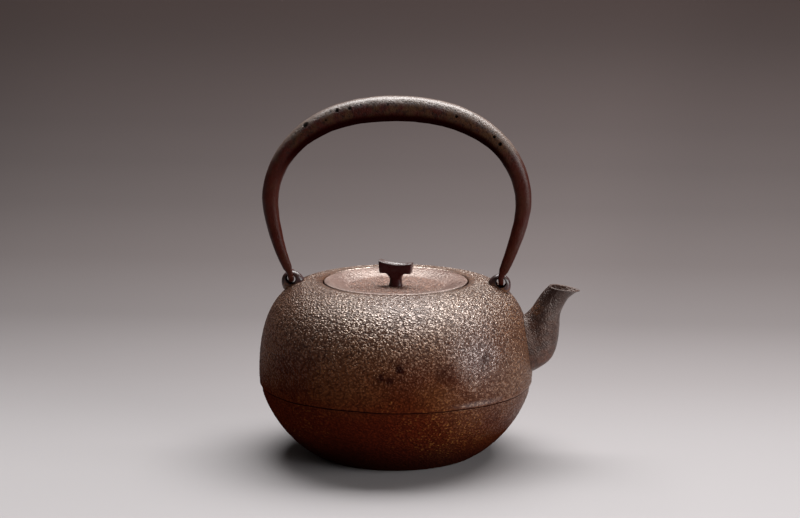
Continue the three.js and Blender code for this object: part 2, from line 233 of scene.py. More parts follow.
# A closed skin over rings of points. looped joins the last ring to the first, otherwise both ends are capped
def loft(name, rings, looped=False, marks=None):
    rings = np.asarray(rings, float)
    rows, sides = rings.shape[:2]
    row, side = np.meshgrid(np.arange(rows if looped else rows - 1), np.arange(sides), indexing="ij")
    ahead, around = (row + 1) % rows, (side + 1) % sides
    corners = (row * sides + side, row * sides + around, ahead * sides + around, ahead * sides + side)
    faces = np.stack(corners, -1).reshape(-1, 4).tolist()
    points = rings.reshape(-1, 3)
    values = {mark: np.asarray(value, float).reshape(-1) for mark, value in (marks or {}).items()}
    if not looped:
        for ring, turned in ((0, True), (rows - 1, False)):
            middle = len(points)
            points = np.vstack([points, rings[ring].mean(0)])
            values = {mark: np.append(value, value[ring * sides]) for mark, value in values.items()}
            for i in range(sides):
                pair = [ring * sides + i, ring * sides + (i + 1) % sides]
                faces.append([middle] + (pair[::-1] if turned else pair))
    return faceOutwards(meshObject(name, points, faces, values))


# Takes the caps off a loft, so that the skin's relief doesn't round its ends
def openEnds(made):
    shape = bmesh.new()
    shape.from_mesh(made.data)
    shape.verts.ensure_lookup_table()
    bmesh.ops.delete(shape, geom=shape.verts[-2:], context="VERTS")
    shape.to_mesh(made.data)
    shape.free()
    return made


# Closes the open ends with flat caps that have a sharp edge
def capEnds(made):
    shape = bmesh.new()
    shape.from_mesh(made.data)
    ends = [edge for edge in shape.edges if edge.is_boundary]
    for edge in ends:
        edge.smooth = False
    bmesh.ops.holes_fill(shape, edges=ends)
    shape.to_mesh(made.data)
    shape.free()
    return made


# Geometry Nodes: a turned casting, and the skin that the sand mould leaves on every cast piece

def newTree(name, inputs):
    tree = bpy.data.node_groups.new(name, "GeometryNodeTree")
    tree.interface.new_socket("Geometry", in_out="INPUT", socket_type="NodeSocketGeometry")
    for label, kind in inputs.items():
        tree.interface.new_socket(label, in_out="INPUT", socket_type="NodeSocket" + kind)
    tree.interface.new_socket("Geometry", in_out="OUTPUT", socket_type="NodeSocketGeometry")
    return tree, tree.nodes.new("NodeGroupInput"), tree.nodes.new("NodeGroupOutput")


def finishTree(tree, geometry, material, end):
    smooth = addNode(tree, "GeometryNodeSetShadeSmooth", {"Geometry": geometry})
    realized = addNode(tree, "GeometryNodeRealizeInstances", {"Geometry": smooth.outputs["Geometry"]})
    painted = addNode(tree, "GeometryNodeSetMaterial", {
        "Geometry": realized.outputs["Geometry"], "Material": material})
    tree.links.new(painted.outputs["Geometry"], end.inputs["Geometry"])


# The value socket that a node's data type leaves switched on
def liveValue(sockets):
    return next(socket for socket in sockets if socket.name == "Value" and socket.enabled)


def readMark(tree, name):
    read = addNode(tree, "GeometryNodeInputNamedAttribute", {"Name": name}, data_type="FLOAT")
    return read.outputs["Attribute"]


def storeMark(tree, geometry, name, value):
    stored = addNode(tree, "GeometryNodeStoreNamedAttribute", {"Geometry": geometry, "Name": name},
                     data_type="FLOAT", domain="POINT")
    tree.links.new(value, liveValue(stored.inputs))
    return stored.outputs["Geometry"]


# Turns the points of an outline about +Z. The outline lies in the XZ plane and carries its marks
def turnedCastingTree(marks, weld=2e-7):
    tree, start, end = newTree("turnedCasting", {"Columns": "Int", "Iron": "Material"})
    outline, columns = start.outputs["Geometry"], start.outputs["Columns"]
    rows = addNode(tree, "GeometryNodeAttributeDomainSize", {"Geometry": outline}).outputs["Point Count"]
    grid = addNode(tree, "GeometryNodeMeshGrid", {
        "Vertices X": plus(tree, columns, 1.0), "Vertices Y": rows})
    index = addNode(tree, "GeometryNodeInputIndex").outputs[0]
    row = calc(tree, "MODULO", index, rows)
    column = calc(tree, "FLOOR", divided(tree, plus(tree, index, 0.5), rows))
    turn = divided(tree, times(tree, column, 2 * math.pi), columns)

    def sampled(kind, value):
        made = addNode(tree, "GeometryNodeSampleIndex", {"Geometry": outline}, data_type=kind)
        tree.links.new(value, liveValue(made.inputs))
        tree.links.new(row, made.inputs["Index"])
        return liveValue(made.outputs)

    position = addNode(tree, "GeometryNodeInputPosition").outputs[0]
    radius, y, z = separated(tree, sampled("FLOAT_VECTOR", position))
    turned = combined(tree, times(tree, radius, calc(tree, "COSINE", turn)),
                      times(tree, radius, calc(tree, "SINE", turn)), z)
    skin = addNode(tree, "GeometryNodeSetPosition", {
        "Geometry": grid.outputs["Mesh"], "Position": turned}).outputs["Geometry"]
    for mark in marks:
        skin = storeMark(tree, skin, mark, sampled("FLOAT", readMark(tree, mark)))
    joined = addNode(tree, "GeometryNodeMergeByDistance", {"Geometry": skin, "Distance": weld})
    finishTree(tree, joined.outputs["Geometry"], start.outputs["Iron"], end)
    return tree


skinSizes = ["Wrinkle depth", "Wrinkle size", "Stretch", "Pit depth", "Pit size", "Pit share",
             "Dimple depth", "Dimple size", "Wave depth", "Wave size", "Seed"]


# Sinks the skin below its drawn surface: wrinkles drawn out round the piece, pits, dimples and slow waves.
# The height that is left is kept as a mark, which the finish reads
def castSkinTree():
    tree, start, end = newTree("castSkin", {**dict.fromkeys(skinSizes, "Float"), "Iron": "Material"})
    given = start.outputs
    inMm = scaled(tree, addNode(tree, "GeometryNodeInputPosition").outputs[0], 1 / mm)
    seed = combined(tree, given["Seed"], given["Seed"], given["Seed"])
    around = movedBy(tree, inMm, seed)
    alongSkin = movedBy(tree, drawnOut(tree, inMm, readMark(tree, "up"), given["Stretch"]), seed)

    def inSizes(place, size):
        return scaled(tree, place, divided(tree, 1.0, given[size]))

    wrinkles = inSizes(alongSkin, "Wrinkle size")
    folds = noiseOf(tree, wrinkles, 1.0, detail=1.6, roughness=0.45, distortion=0.5)
    beads = fade(tree, cellsOf(tree, wrinkles, 1.45, feature="SMOOTH_F1"), 0.12, 0.6)
    height = plus(tree, times(tree, spread(tree, folds, 0.34, 0.66), 0.4), times(tree, beads, 0.6))
    pits = inSizes(around, "Pit size")
    chance = separated(tree, cellsOf(tree, pits, 1.0, out="Color"))[0]
    chosen = calc(tree, "LESS_THAN", chance, times(tree, given["Pit share"], readMark(tree, "pitting")))
    pit = times(tree, fade(tree, cellsOf(tree, pits, 1.0), 0.08, 0.3), chosen)
    dimples = cellsOf(tree, inSizes(around, "Dimple size"), 1.0, feature="SMOOTH_F1")
    dimple = fade(tree, dimples, 0.0, 0.7)
    wave = noiseOf(tree, inSizes(around, "Wave size"), 1.0, detail=1.0)
    depth = times(tree, minus(tree, 1.0, height), given["Wrinkle depth"])
    for hollow, size in ((pit, "Pit depth"), (dimple, "Dimple depth"), (wave, "Wave depth")):
        depth = plus(tree, depth, times(tree, hollow, given[size]))
    depth = times(tree, depth, readMark(tree, "relief"))
    normal = addNode(tree, "GeometryNodeInputNormal").outputs[0]
    kept = storeMark(tree, given["Geometry"], "height", minus(tree, height, times(tree, pit, 1.2)))
    sunk = addNode(tree, "GeometryNodeSetPosition", {
        "Geometry": kept, "Offset": scaled(tree, normal, times(tree, depth, -mm))})
    finishTree(tree, sunk.outputs["Geometry"], given["Iron"], end)
    return tree


def addTree(made, tree, values):
    modifier = made.modifiers.new(tree.name, "NODES")
    modifier.node_group = tree
    for item in tree.interface.items_tree:
        if item.in_out == "INPUT" and item.name in values:
            modifier[item.identifier] = values[item.name]
    return made


# Turns whatever the modifiers give into the piece's own plain mesh
def settle(made):
    bpy.context.view_layer.update()
    evaluated = made.evaluated_get(bpy.context.evaluated_depsgraph_get())
    mesh = bpy.data.meshes.new_from_object(evaluated)
    made.modifiers.clear()
    made.data = mesh
    mesh.name = made.name
    return made


def cut(made, cutter, operation="DIFFERENCE"):
    modifier = made.modifiers.new("cut", "BOOLEAN")
    modifier.operation = operation
    modifier.solver = "MANIFOLD"
    modifier.object = cutter
    settle(made)
    bpy.data.objects.remove(cutter)
    return made


# Finishes. Each reads the piece's own coordinates and the marks that its mesh carries

def newIron(name):
    material = bpy.data.materials.new(name)
    material.use_nodes = True
    tree = material.node_tree
    inMm = scaled(tree, addNode(tree, "ShaderNodeTexCoord").outputs["Object"], 1 / mm)
    return material, tree, tree.nodes["Principled BSDF"], inMm


def markOf(tree, name):
    return addNode(tree, "ShaderNodeAttribute", attribute_name=name).outputs["Fac"]


# The Mix node's sockets share their names, so they are taken by number: 6 and 7 are its two colours
def blendColours(tree, share, first, second):
    made = addNode(tree, "ShaderNodeMix", {0: share}, data_type="RGBA")
    for number, colour in ((6, first), (7, second)):
        feed(tree, (*colour, 1) if isinstance(colour, tuple) else colour, made.inputs[number])
    return made.outputs[2]


# Lays colours over a ground colour, each as thickly as its share says
def paint(tree, shader, ground, layers):
    for share, colour in layers:
        ground = blendColours(tree, share, ground, colour)
    tree.links.new(ground, shader.inputs["Base Color"])


# 1 in the middle of the strongest of several patches, falling to 0 at their ragged edges
def patches(tree, inMm, places, ragged=0.5, inner=0.0):
    strongest = 0.0
    for patch in places:
        radius = patch["radius"]
        uneven = minus(tree, noiseOf(tree, inMm, radius * 0.5, detail=4.0), 0.5)
        distance = distanceTo(tree, inMm, patch["centre"])
        distance = plus(tree, distance, times(tree, uneven, 2 * ragged * radius))
        share = times(tree, fade(tree, distance, radius * inner, radius), patch["strength"])
        strongest = larger(tree, strongest, share)
    return strongest


# The fine grain of a sand casting, drawn out a little round the piece: 1 on top of a grain, 0 between grains
def castGrain(tree, inMm, size, stretch=1.0):
    place = drawnOut(tree, inMm, markOf(tree, "up"), stretch)
    grains = fade(tree, cellsOf(tree, place, size * 1.4, feature="SMOOTH_F1"), 0.1, 0.6)
    folds = spread(tree, noiseOf(tree, place, size * 1.1, distortion=0.4), 0.3, 0.7)
    return plus(tree, times(tree, grains, 0.6), times(tree, folds, 0.4))


def addBump(tree, shader, height, strength, depth):
    bump = addNode(tree, "ShaderNodeBump", {"Height": height, "Strength": strength, "Distance": depth * mm})
    tree.links.new(bump.outputs[0], shader.inputs["Normal"])


# Bands are heights above the base, and reaches are places along X, which runs towards the spout
vesselIron = {
    "brown": (0.125, 0.041, 0.014), "dark": (0.08, 0.017, 0.005), "rust": (0.34, 0.14, 0.035),
    "crevice": (0.016, 0.003, 0.002), "ledgeHighlight": (0.13, 0.12, 0.13), "paintedShade": (0.016, 0.004, 0.003),
    "ember": (0.075, 0.011, 0.004), "upper": (0.13, 0.056, 0.028),
    "glint": (1.0, 0.87, 0.77), "glintBelow": (1.0, 0.74, 0.55), "rubbedGlint": (1.0, 0.93, 0.92),
    "grain": 0.95, "stretch": 1.2, "grainDepth": 0.75, "fineGrain": 0.6,
    "cloud": 38, "rustCloud": 16, "speckle": 1.9, "roughness": 0.27, "ior": 2.3, "shineCurve": 2.5,
    "bands": {
        "ember": (36, 62), "upper": (66, 104), "upperAtSpout": (30, 60), "crevice": (50, 100),
        "paintedShade": (12, 40), "shine": (46, 106), "shineAtSpout": (20, 70), "glint": (75, 108),
        "seam": (46.8, 47.8), "pastSeam": (48.8, 51.5)},
    "reaches": {"ember": (10, 60), "upper": (45, 86), "shineAtSpout": (25, 85), "shine": (-90, -15)},
    "rustPatches": [
        {"centre": (40, -70, 27), "radius": 40, "strength": 0.75},
        {"centre": (-50, -68, 38), "radius": 30, "strength": 0.25},
        {"centre": (77, -16, 97), "radius": 20, "strength": 0.75},
        {"centre": (74, -3, 103), "radius": 12, "strength": 0.6},
        {"centre": (-74, -3, 103), "radius": 14, "strength": 0.6},
        {"centre": (52, -60, 62), "radius": 24, "strength": 0.3},
    ],
    "seamRubAndHighlight": [{"centre": (57, -68, 49), "radius": 24, "strength": 0.7}],
    "rubbedPatches": [
        {"centre": (58, -63, 80), "radius": 38, "strength": 1.0},
        {"centre": (10, -62, 112), "radius": 44, "strength": 0.5},
    ],
    "stainsAndShade": [
        {"centre": (10, -86.3, 74), "radius": 4.2, "strength": 1.0},
        {"centre": (-1.5, -88, 69), "radius": 4.2, "strength": 0.9},
        {"centre": (4, -88, 67), "radius": 3.6, "strength": 0.85},
        {"centre": (37, -80, 70), "radius": 8, "strength": 0.5},
        {"centre": (62, -62, 76), "radius": 5, "strength": 0.6},
        # the two patches behind the lugs are painted shade, darkening the shoulder that shows through the
        # lugs' eyes
        {"centre": (64, 15, 104), "radius": 13, "strength": 0.9},
        {"centre": (-64, 15, 104), "radius": 13, "strength": 0.9},
    ],
}


def makeVesselIron():
    material, tree, shader, inMm = newIron("vesselPatina")
    look, band, reach = vesselIron, vesselIron["bands"], vesselIron["reaches"]
    x, y, z = separated(tree, inMm)
    hole = markOf(tree, "hole")
    grain = castGrain(tree, inMm, look["grain"], look["stretch"])
    cloud = noiseOf(tree, inMm, look["cloud"], detail=3.0)
    # Painted shade and light: ember paints the lower body a darker red, most towards the left, where less
    # light falls, and upper paints a lighter, greyer brown on the shoulder and low down towards the spout,
    # where the lamps fall
    ember = times(tree, fade(tree, z, *band["ember"]), spread(tree, x, *reach["ember"], 1.0, 0.15))
    upper = times(tree, spread(tree, x, *reach["upper"], 0.0, 0.8), spread(tree, z, *band["upperAtSpout"]))
    upper = larger(tree, spread(tree, z, *band["upper"]), upper)
    everywhere = spread(tree, noiseOf(tree, inMm, look["rustCloud"], detail=3.0), 0.5, 0.75)
    rust = larger(tree, patches(tree, inMm, look["rustPatches"]), times(tree, everywhere, 0.4))
    speckles = spread(tree, noiseOf(tree, inMm, look["speckle"], detail=3.0, roughness=0.6), 0.48, 0.64)
    rust = times(tree, speckles, rust, spread(tree, grain, 0.35, 0.6))
    # Painted shade in the skin's hollows and between the grains, more of it higher up; these places also
    # shine less and are rougher
    hollows = times(tree, fade(tree, markOf(tree, "height"), 0.0, 0.5), 0.4)
    pores = times(tree, fade(tree, grain, 0.36, 0.56), 0.6)
    low = plus(tree, hollows, pores)
    # Dark red stains, and painted shade behind the lugs; all of them also shine less
    stainsAndShade = patches(tree, inMm, look["stainsAndShade"], 0.8, 0.3)
    # Painted highlight: a pale blue-grey line on the lit ledge just above the seam, partly rubbed wear, where
    # it also shines more
    overSeam = times(tree, spread(tree, z, *band["seam"]), fade(tree, z, *band["pastSeam"]))
    rubbedLedgeAndHighlight = times(tree, overSeam, patches(tree, inMm, look["seamRubAndHighlight"], 0.9))
    # Painted shade: the lower body is painted darker towards the bottom, with a ragged edge
    shadeBelow = spread(tree, plus(tree, z, times(tree, cloud, 14)), *band["paintedShade"], 0.8, 0.0)
    ground = blendColours(tree, spread(tree, cloud, 0.35, 0.68), look["brown"], look["dark"])
    paint(tree, shader, ground, [
        (ember, look["ember"]),
        (upper, look["upper"]),
        (rust, look["rust"]),
        (times(tree, low, spread(tree, z, *band["crevice"], 0.7, 0.95)), look["crevice"]),
        (stainsAndShade, look["crevice"]),
        (times(tree, rubbedLedgeAndHighlight, 0.45), look["ledgeHighlight"]),
        # painted shade in the seam's groove and the gap round the lid, which also shine less
        (hole, look["paintedShade"]),
        (shadeBelow, look["paintedShade"])])
    rubbed = patches(tree, inMm, look["rubbedPatches"], 0.3)
    rough = plus(tree, times(tree, minus(tree, cloud, 0.5), 0.2), look["roughness"])
    rough = minus(tree, rough, times(tree, rubbed, 0.1))
    rough = plus(tree, rough, times(tree, rust, 0.25), times(tree, low, 0.15))
    tree.links.new(rough, shader.inputs["Roughness"])
    above = calc(tree, "POWER", spread(tree, z, *band["shine"], smooth=False), look["shineCurve"])
    atSpout = spread(tree, x, *reach["shineAtSpout"], 0.0, 0.5)
    atSpout = times(tree, atSpout, spread(tree, z, *band["shineAtSpout"]))
    shine = larger(tree, above, times(tree, rubbed, 0.75), atSpout, times(tree, rubbedLedgeAndHighlight, 0.4))
    inLow = spread(tree, low, 0.05, 0.8, 1.0, 0.2)
    onStainsAndShade = spread(tree, stainsAndShade, 0.0, 1.0, 1.0, 0.2)
    toLeft = spread(tree, x, *reach["shine"], 0.2, 1.0)
    shine = times(tree, shine, inLow, onStainsAndShade, toLeft, minus(tree, 1.0, hole))
    tree.links.new(shine, shader.inputs["Specular IOR Level"])
    glint = blendColours(tree, spread(tree, z, *band["glint"]), look["glintBelow"], look["glint"])
    tree.links.new(blendColours(tree, rubbed, glint, look["rubbedGlint"]), shader.inputs["Specular Tint"])
    shader.inputs["IOR"].default_value = look["ior"]
    fine = plus(tree, grain, times(tree, noiseOf(tree, inMm, look["fineGrain"]), 0.35))
    strength = spread(tree, markOf(tree, "relief"), 0.0, 1.0, 0.1, 0.85)
    addBump(tree, shader, fine, strength, look["grainDepth"])
    return material


smoothIron = {
    "brown": (0.045, 0.016, 0.009), "grey": (0.085, 0.054, 0.045), "rust": (0.2, 0.068, 0.017),
    "dark": (0.02, 0.007, 0.005), "ember": (0.09, 0.026, 0.011), "crevice": (0.016, 0.006, 0.005),
    "eye": (0.004, 0.002, 0.002), "glint": (1.0, 0.84, 0.76),
    "cloud": 14, "speckle": 1.7, "grain": 0.8, "fineGrain": 0.9, "grainDepth": 0.6,
    "roughness": (0.44, 0.28), "shine": 0.5,
    "darkPatches": [
        {"centre": (100, -8, 107), "radius": 20, "strength": 1.0},
        {"centre": (94, -8, 94), "radius": 9, "strength": 0.6},
    ],
    "emberPatches": [{"centre": (97, -9, 60), "radius": 14, "strength": 0.8}],
    "rustPatches": [{"centre": (89, -6, 97), "radius": 8, "strength": 0.8}],
}


def makeSmoothIron():
    material, tree, shader, inMm = newIron("spoutPatina")
    look = smoothIron
    height = markOf(tree, "height")
    cloud = noiseOf(tree, inMm, look["cloud"], detail=4.0, roughness=0.6)
    speckles = spread(tree, noiseOf(tree, inMm, look["speckle"], detail=3.0, roughness=0.6), 0.42, 0.62)
    ground = blendColours(tree, spread(tree, cloud, 0.4, 0.62), look["brown"], look["grey"])
    paint(tree, shader, ground, [
        (patches(tree, inMm, look["emberPatches"]), look["ember"]),
        (patches(tree, inMm, look["darkPatches"]), look["dark"]),
        (times(tree, patches(tree, inMm, look["rustPatches"]), speckles), look["rust"]),
        # painted shade in the skin's hollows
        (times(tree, fade(tree, height, 0.1, 0.6), 0.6), look["crevice"]),
        (markOf(tree, "hole"), look["eye"])])
    tree.links.new(spread(tree, cloud, 0.35, 0.65, *look["roughness"]), shader.inputs["Roughness"])
    shader.inputs["Specular IOR Level"].default_value = look["shine"]
    shader.inputs["Specular Tint"].default_value = (*look["glint"], 1)
    fine = noiseOf(tree, inMm, look["fineGrain"], detail=3.0, roughness=0.6)
    relief = plus(tree, castGrain(tree, inMm, look["grain"]), fine, times(tree, height, 0.3))
    addBump(tree, shader, relief, 0.6, look["grainDepth"])
    return material


lugIron = {
    "black": (0.03, 0.01, 0.007), "violet": (0.065, 0.036, 0.04), "rust": (0.16, 0.06, 0.018),
    "cloud": 6, "speckle": 1.5, "rustBand": (110, 115), "grain": 1.6, "grainDepth": 0.08,
    "roughness": 0.33, "shine": 0.6,
}


def makeLugIron():
    material, tree, shader, inMm = newIron("lugPolish")
    look = lugIron
    hole = markOf(tree, "hole")
    cloud = noiseOf(tree, inMm, look["cloud"], detail=3.0)
    x, y, z = separated(tree, inMm)
    atFoot = fade(tree, plus(tree, z, times(tree, cloud, 6)), *look["rustBand"])
    speckles = spread(tree, noiseOf(tree, inMm, look["speckle"], detail=3.0), 0.4, 0.6)
    ground = blendColours(tree, spread(tree, cloud, 0.4, 0.65), look["black"], look["violet"])
    # the eye is painted near black: painted shade, which also shines less
    paint(tree, shader, ground, [(times(tree, atFoot, speckles), look["rust"]), (hole, smoothIron["eye"])])
    shader.inputs["Roughness"].default_value = look["roughness"]
    tree.links.new(times(tree, minus(tree, 1.0, hole), look["shine"]), shader.inputs["Specular IOR Level"])
    addBump(tree, shader, noiseOf(tree, inMm, look["grain"], detail=3.0), 0.4, look["grainDepth"])
    return material


lidIron = {
    "smooth": (0.22, 0.13, 0.105), "pitted": (0.36, 0.18, 0.125), "crevice": (0.04, 0.009, 0.006),
    "rim": (0.2, 0.14, 0.12), "cloud": 17, "grain": 0.9, "grainDepth": 1.4,
    "roughness": (0.44, 0.34), "shine": 0.9, "ior": 1.65,
}


def makeLidIron():
    material, tree, shader, inMm = newIron("lidPatina")
    look = lidIron
    pitting = markOf(tree, "pitting")
    cloud = noiseOf(tree, inMm, look["cloud"], detail=4.0)
    grain = castGrain(tree, inMm, look["grain"])
    # Painted shade between the grains and in the skin's hollows; the cloud's dark blotches are the iron's own
    # tone
    pores = times(tree, fade(tree, grain, 0.34, 0.56), spread(tree, pitting, 0.0, 1.0, 0.5, 1.0))
    paint(tree, shader, blendColours(tree, pitting, look["smooth"], look["pitted"]), [
        (times(tree, spread(tree, cloud, 0.45, 0.7), 0.3), look["crevice"]),
        (times(tree, pores, 0.8), look["crevice"]),
        (times(tree, fade(tree, markOf(tree, "height"), 0.1, 0.6), 0.5), look["crevice"]),
        (markOf(tree, "worn"), look["rim"]),
        # painted shade in the gap round the rim
        (markOf(tree, "hole"), vesselIron["paintedShade"])])
    tree.links.new(spread(tree, cloud, 0.3, 0.7, *look["roughness"]), shader.inputs["Roughness"])
    shader.inputs["Specular IOR Level"].default_value = look["shine"]
    shader.inputs["Specular Tint"].default_value = (*vesselIron["glint"], 1)
    shader.inputs["IOR"].default_value = look["ior"]
    addBump(tree, shader, grain, spread(tree, pitting, 0.0, 1.0, 0.3, 1.0), look["grainDepth"])
    return material


forgedIron = {
    "red": (0.042, 0.0065, 0.0035), "worn": (0.13, 0.09, 0.073), "olive": (0.055, 0.024, 0.009),
    "under": (0.008, 0.0008, 0.0008), "hole": (0.004, 0.002, 0.002), "crevice": (0.012, 0.004, 0.003),
    "cloud": 11, "grain": 1.0, "grainDepth": 0.8, "roughness": (0.36, 0.54), "shine": (0.1, 0.7),
}


def makeForgedIron():
    material, tree, shader, inMm = newIron("forgedPatina")
    look = forgedIron
    worn, pitting, under = markOf(tree, "worn"), markOf(tree, "pitting"), markOf(tree, "under")
    cloud = noiseOf(tree, inMm, look["cloud"], detail=4.0, roughness=0.6)
    ragged = plus(tree, worn, times(tree, minus(tree, cloud, 0.5), 0.9))
    blotches = times(tree, pitting, spread(tree, cloud, 0.42, 0.6))
    low = fade(tree, markOf(tree, "height"), -0.2, 0.55)
    # The top is painted lighter: partly wear, partly a painted highlight
    ground = blendColours(tree, spread(tree, ragged, 0.35, 0.9), look["red"], look["worn"])
    paint(tree, shader, ground, [
        (times(tree, blotches, 0.85), look["olive"]),
        # painted shade in the pits
        (times(tree, low, pitting, 0.9), look["crevice"]),
        # painted shade on the underside
        (under, look["under"]),
        # painted shade inside the pinholes, and the sheet's dark joint line
        (markOf(tree, "hole"), look["hole"])])
    tree.links.new(spread(tree, blotches, 0.0, 0.9, *look["roughness"]), shader.inputs["Roughness"])
    shine = times(tree, spread(tree, worn, 0.0, 0.7, *look["shine"]), fade(tree, under, 0.0, 1.0))
    tree.links.new(shine, shader.inputs["Specular IOR Level"])
    grain = noiseOf(tree, inMm, look["grain"], detail=3.0, roughness=0.65)
    addBump(tree, shader, grain, spread(tree, pitting, 0.0, 1.0, 0.35, 0.9), look["grainDepth"])
    return material


knobIron = {
    "red": (0.03, 0.004, 0.004), "rub": (0.09, 0.06, 0.055), "cloud": 3.5, "grain": 1.0, "grainDepth": 0.12,
    "roughness": (0.24, 0.4), "shine": (0.2, 1.0),
}


def makeKnobIron():
    material, tree, shader, inMm = newIron("knobPatina")
    look = knobIron
    worn = markOf(tree, "worn")
    cloud = noiseOf(tree, inMm, look["cloud"], detail=4.0)
    ground = blendColours(tree, times(tree, spread(tree, cloud, 0.5, 0.75), 0.2), look["red"], look["rub"])
    paint(tree, shader, ground, [(worn, look["rub"])])
    tree.links.new(spread(tree, cloud, 0.3, 0.7, *look["roughness"]), shader.inputs["Roughness"])
    tree.links.new(spread(tree, worn, 0.0, 1.0, *look["shine"]), shader.inputs["Specular IOR Level"])
    grain = noiseOf(tree, inMm, look["grain"], detail=3.0, roughness=0.6)
    addBump(tree, shader, grain, 0.5, look["grainDepth"])
    return material


vesselPatina = makeVesselIron()
spoutPatina = makeSmoothIron()
lugPolish = makeLugIron()
lidPatina = makeLidIron()
forgedPatina = makeForgedIron()
knobPatina = makeKnobIron()
turnedCasting = turnedCastingTree(["up", "relief", "pitting", "worn", "hole"])
castSkin = castSkinTree()
print("finishes and node trees ready")


def outlineObject(name, outline, up, relief, pitting=0.0, worn=0.0, hole=0.0):
    count = len(outline)
    points = np.stack([outline[:, 0], np.zeros(count), outline[:, 1]], -1)
    marks = {"up": up, "relief": relief, "pitting": pitting, "worn": worn, "hole": hole}
    marks = {mark: np.broadcast_to(np.asarray(value, float), count) for mark, value in marks.items()}
    return meshObject(name, points, [], marks)


# Turns an outline into a closed piece, and gives it a cast skin where one is stated
def turnedPiece(outlined, columns, iron, skin=None, seed=0.0):
    addTree(outlined, turnedCasting, {"Columns": columns, "Iron": iron})
    if skin:
        addTree(outlined, castSkin, {**skin, "Seed": seed, "Iron": iron})
    return faceOutwards(settle(outlined))


def castPiece(lofted, iron, skin, seed):
    return settle(addTree(lofted, castSkin, {**skin, "Seed": seed, "Iron": iron}))


# Vessel: the two mould halves, the seam between them, and the open mouth with its ledge
vessel = {
    "radius": 88.7, "equator": 54.4, "mouth": 112.4, "base": 52.0, "wall": 3.0, "floor": 3.6,
    "bellyReach": 19.8, "bellyAngle": 23.8, "bellyPull": 21.2,
    "shoulderReach": 20.4, "shoulderRise": 1.8, "shoulderPull": 45.7,
    "seam": 46.7, "seamStep": 0.5, "seamFade": 7.0, "seamRound": 0.45, "seamDrift": 0.3, "seamReach": 3.5,
    "seat": 46.9, "mouthRound": 1.5, "ledge": 109.2, "mouthRadius": 41.5, "neck": 106.0,
    "spacing": 0.62, "insideSpacing": 12.0, "columns": 560, "footRound": 1.2, "seed": 3.0,
    "groove": {"height": 0.8, "depth": 0.7},
    "skin": {"Wrinkle depth": 0.3, "Wrinkle size": 1.1, "Stretch": 1.25, "Pit depth": 0.22, "Pit size": 7.0,
             "Pit share": 0.12, "Dimple depth": 0.0, "Dimple size": 9.0,
             "Wave depth": 0.35, "Wave size": 26.0},
}
rimRadius = vessel["seat"] + vessel["mouthRound"]
bellyAngle = math.radians(vessel["bellyAngle"])
belly = bezier(
    (vessel["base"], 0),
    (vessel["base"] + vessel["bellyReach"] * math.cos(bellyAngle),
     vessel["bellyReach"] * math.sin(bellyAngle)),
    (vessel["radius"], vessel["equator"] - vessel["bellyPull"]),
    (vessel["radius"], vessel["equator"]))
shoulder = bezier(
    (vessel["radius"], vessel["equator"]),
    (vessel["radius"], vessel["equator"] + vessel["shoulderPull"]),
    (rimRadius + vessel["shoulderReach"], vessel["mouth"] + vessel["shoulderRise"]),
    (rimRadius, vessel["mouth"]))
bodyOutline = np.vstack([belly, shoulder[1:]])
bodyUp = lengthAlong(bodyOutline)


# How far along the body's outline a height near the seam lies
def upAt(height):
    return np.interp(height, belly[:, 1], bodyUp[:len(belly)])


# How far places lie outside the drawn body, 0 for places inside it
def fromBody(radius, z):
    distance = np.full(np.shape(radius), np.inf)
    for r, height in bodyOutline[::4]:
        distance = np.minimum(distance, np.hypot(radius - r, z - height))
    widest = np.interp(z, bodyOutline[:-20, 1], bodyOutline[:-20, 0])
    return np.where(radius < widest, 0, distance)


# The seam wanders a little round the body, by the same amount on both halves
def driftSeam(made):
    points = pointsOf(made)
    turn = np.arctan2(points[:, 1], points[:, 0])
    wander = np.sin(3 * turn + 1.1) + 0.6 * np.sin(7 * turn + 2.3) + 0.3 * np.sin(17 * turn)
    near = np.exp(-((points[:, 2] / mm - vessel["seam"]) / vessel["seamReach"]) ** 2)
    points[:, 2] += vessel["seamDrift"] * mm * wander * near
    return movePoints(made, points)


def castVessel(outlined):
    return driftSeam(turnedPiece(outlined, vessel["columns"], vesselPatina, vessel["skin"], vessel["seed"]))


def makeVesselUpper():
    rounding, seam = vessel["seamRound"], vessel["seam"]
    seamPlace, total = upAt(seam + rounding), bodyUp[-1]
    places = np.linspace(seamPlace, total, int((total - seamPlace) / vessel["spacing"]))
    outer = pointsAt(bodyOutline, places)
    lip = arc((outer[0, 0] - rounding, seam + rounding), rounding, -90, -10, 5)
    rim = arc((rimRadius, vessel["mouth"] - vessel["mouthRound"]), vessel["mouthRound"], 90, 180, 7)[1:]
    step = [(vessel["seat"], vessel["ledge"]), (vessel["mouthRadius"] + 0.5, vessel["ledge"]),
            (vessel["mouthRadius"], vessel["ledge"] - 0.5), (vessel["mouthRadius"], vessel["neck"])]
    wallLine = inset(bodyOutline, vessel["wall"])
    wallLine = wallLine[(wallLine[:, 1] > seam) & (wallLine[:, 1] < vessel["neck"])]
    inside = evenly(wallLine[::-1], vessel["insideSpacing"])
    inside[-1, 1] = seam
    outline = np.vstack([lip, outer, rim, step, inside, lip[:1]])
    outerEnd = len(lip) + len(outer)
    up = np.full(len(outline), total)
    up[:len(lip)] = seamPlace
    up[len(lip):outerEnd] = places
    # the ring round the mouth is smoother than the shoulder
    relief = np.zeros(len(outline))
    relief[len(lip):outerEnd] = 0.3 + 0.7 * smoothstep(outer[:, 0], 48.5, 55)
    relief[len(lip):outerEnd] *= smoothstep(places, seamPlace, seamPlace + 2.5)
    # painted shade: the seam's edge and the gap round the lid are darkened
    hole = np.zeros(len(outline))
    hole[:2] = 1
    gapStart = outerEnd + len(rim) - 1
    hole[gapStart:gapStart + 3] = 1
    return castVessel(outlineObject("vesselUpper", outline, up, relief, pitting=1.0, hole=hole))


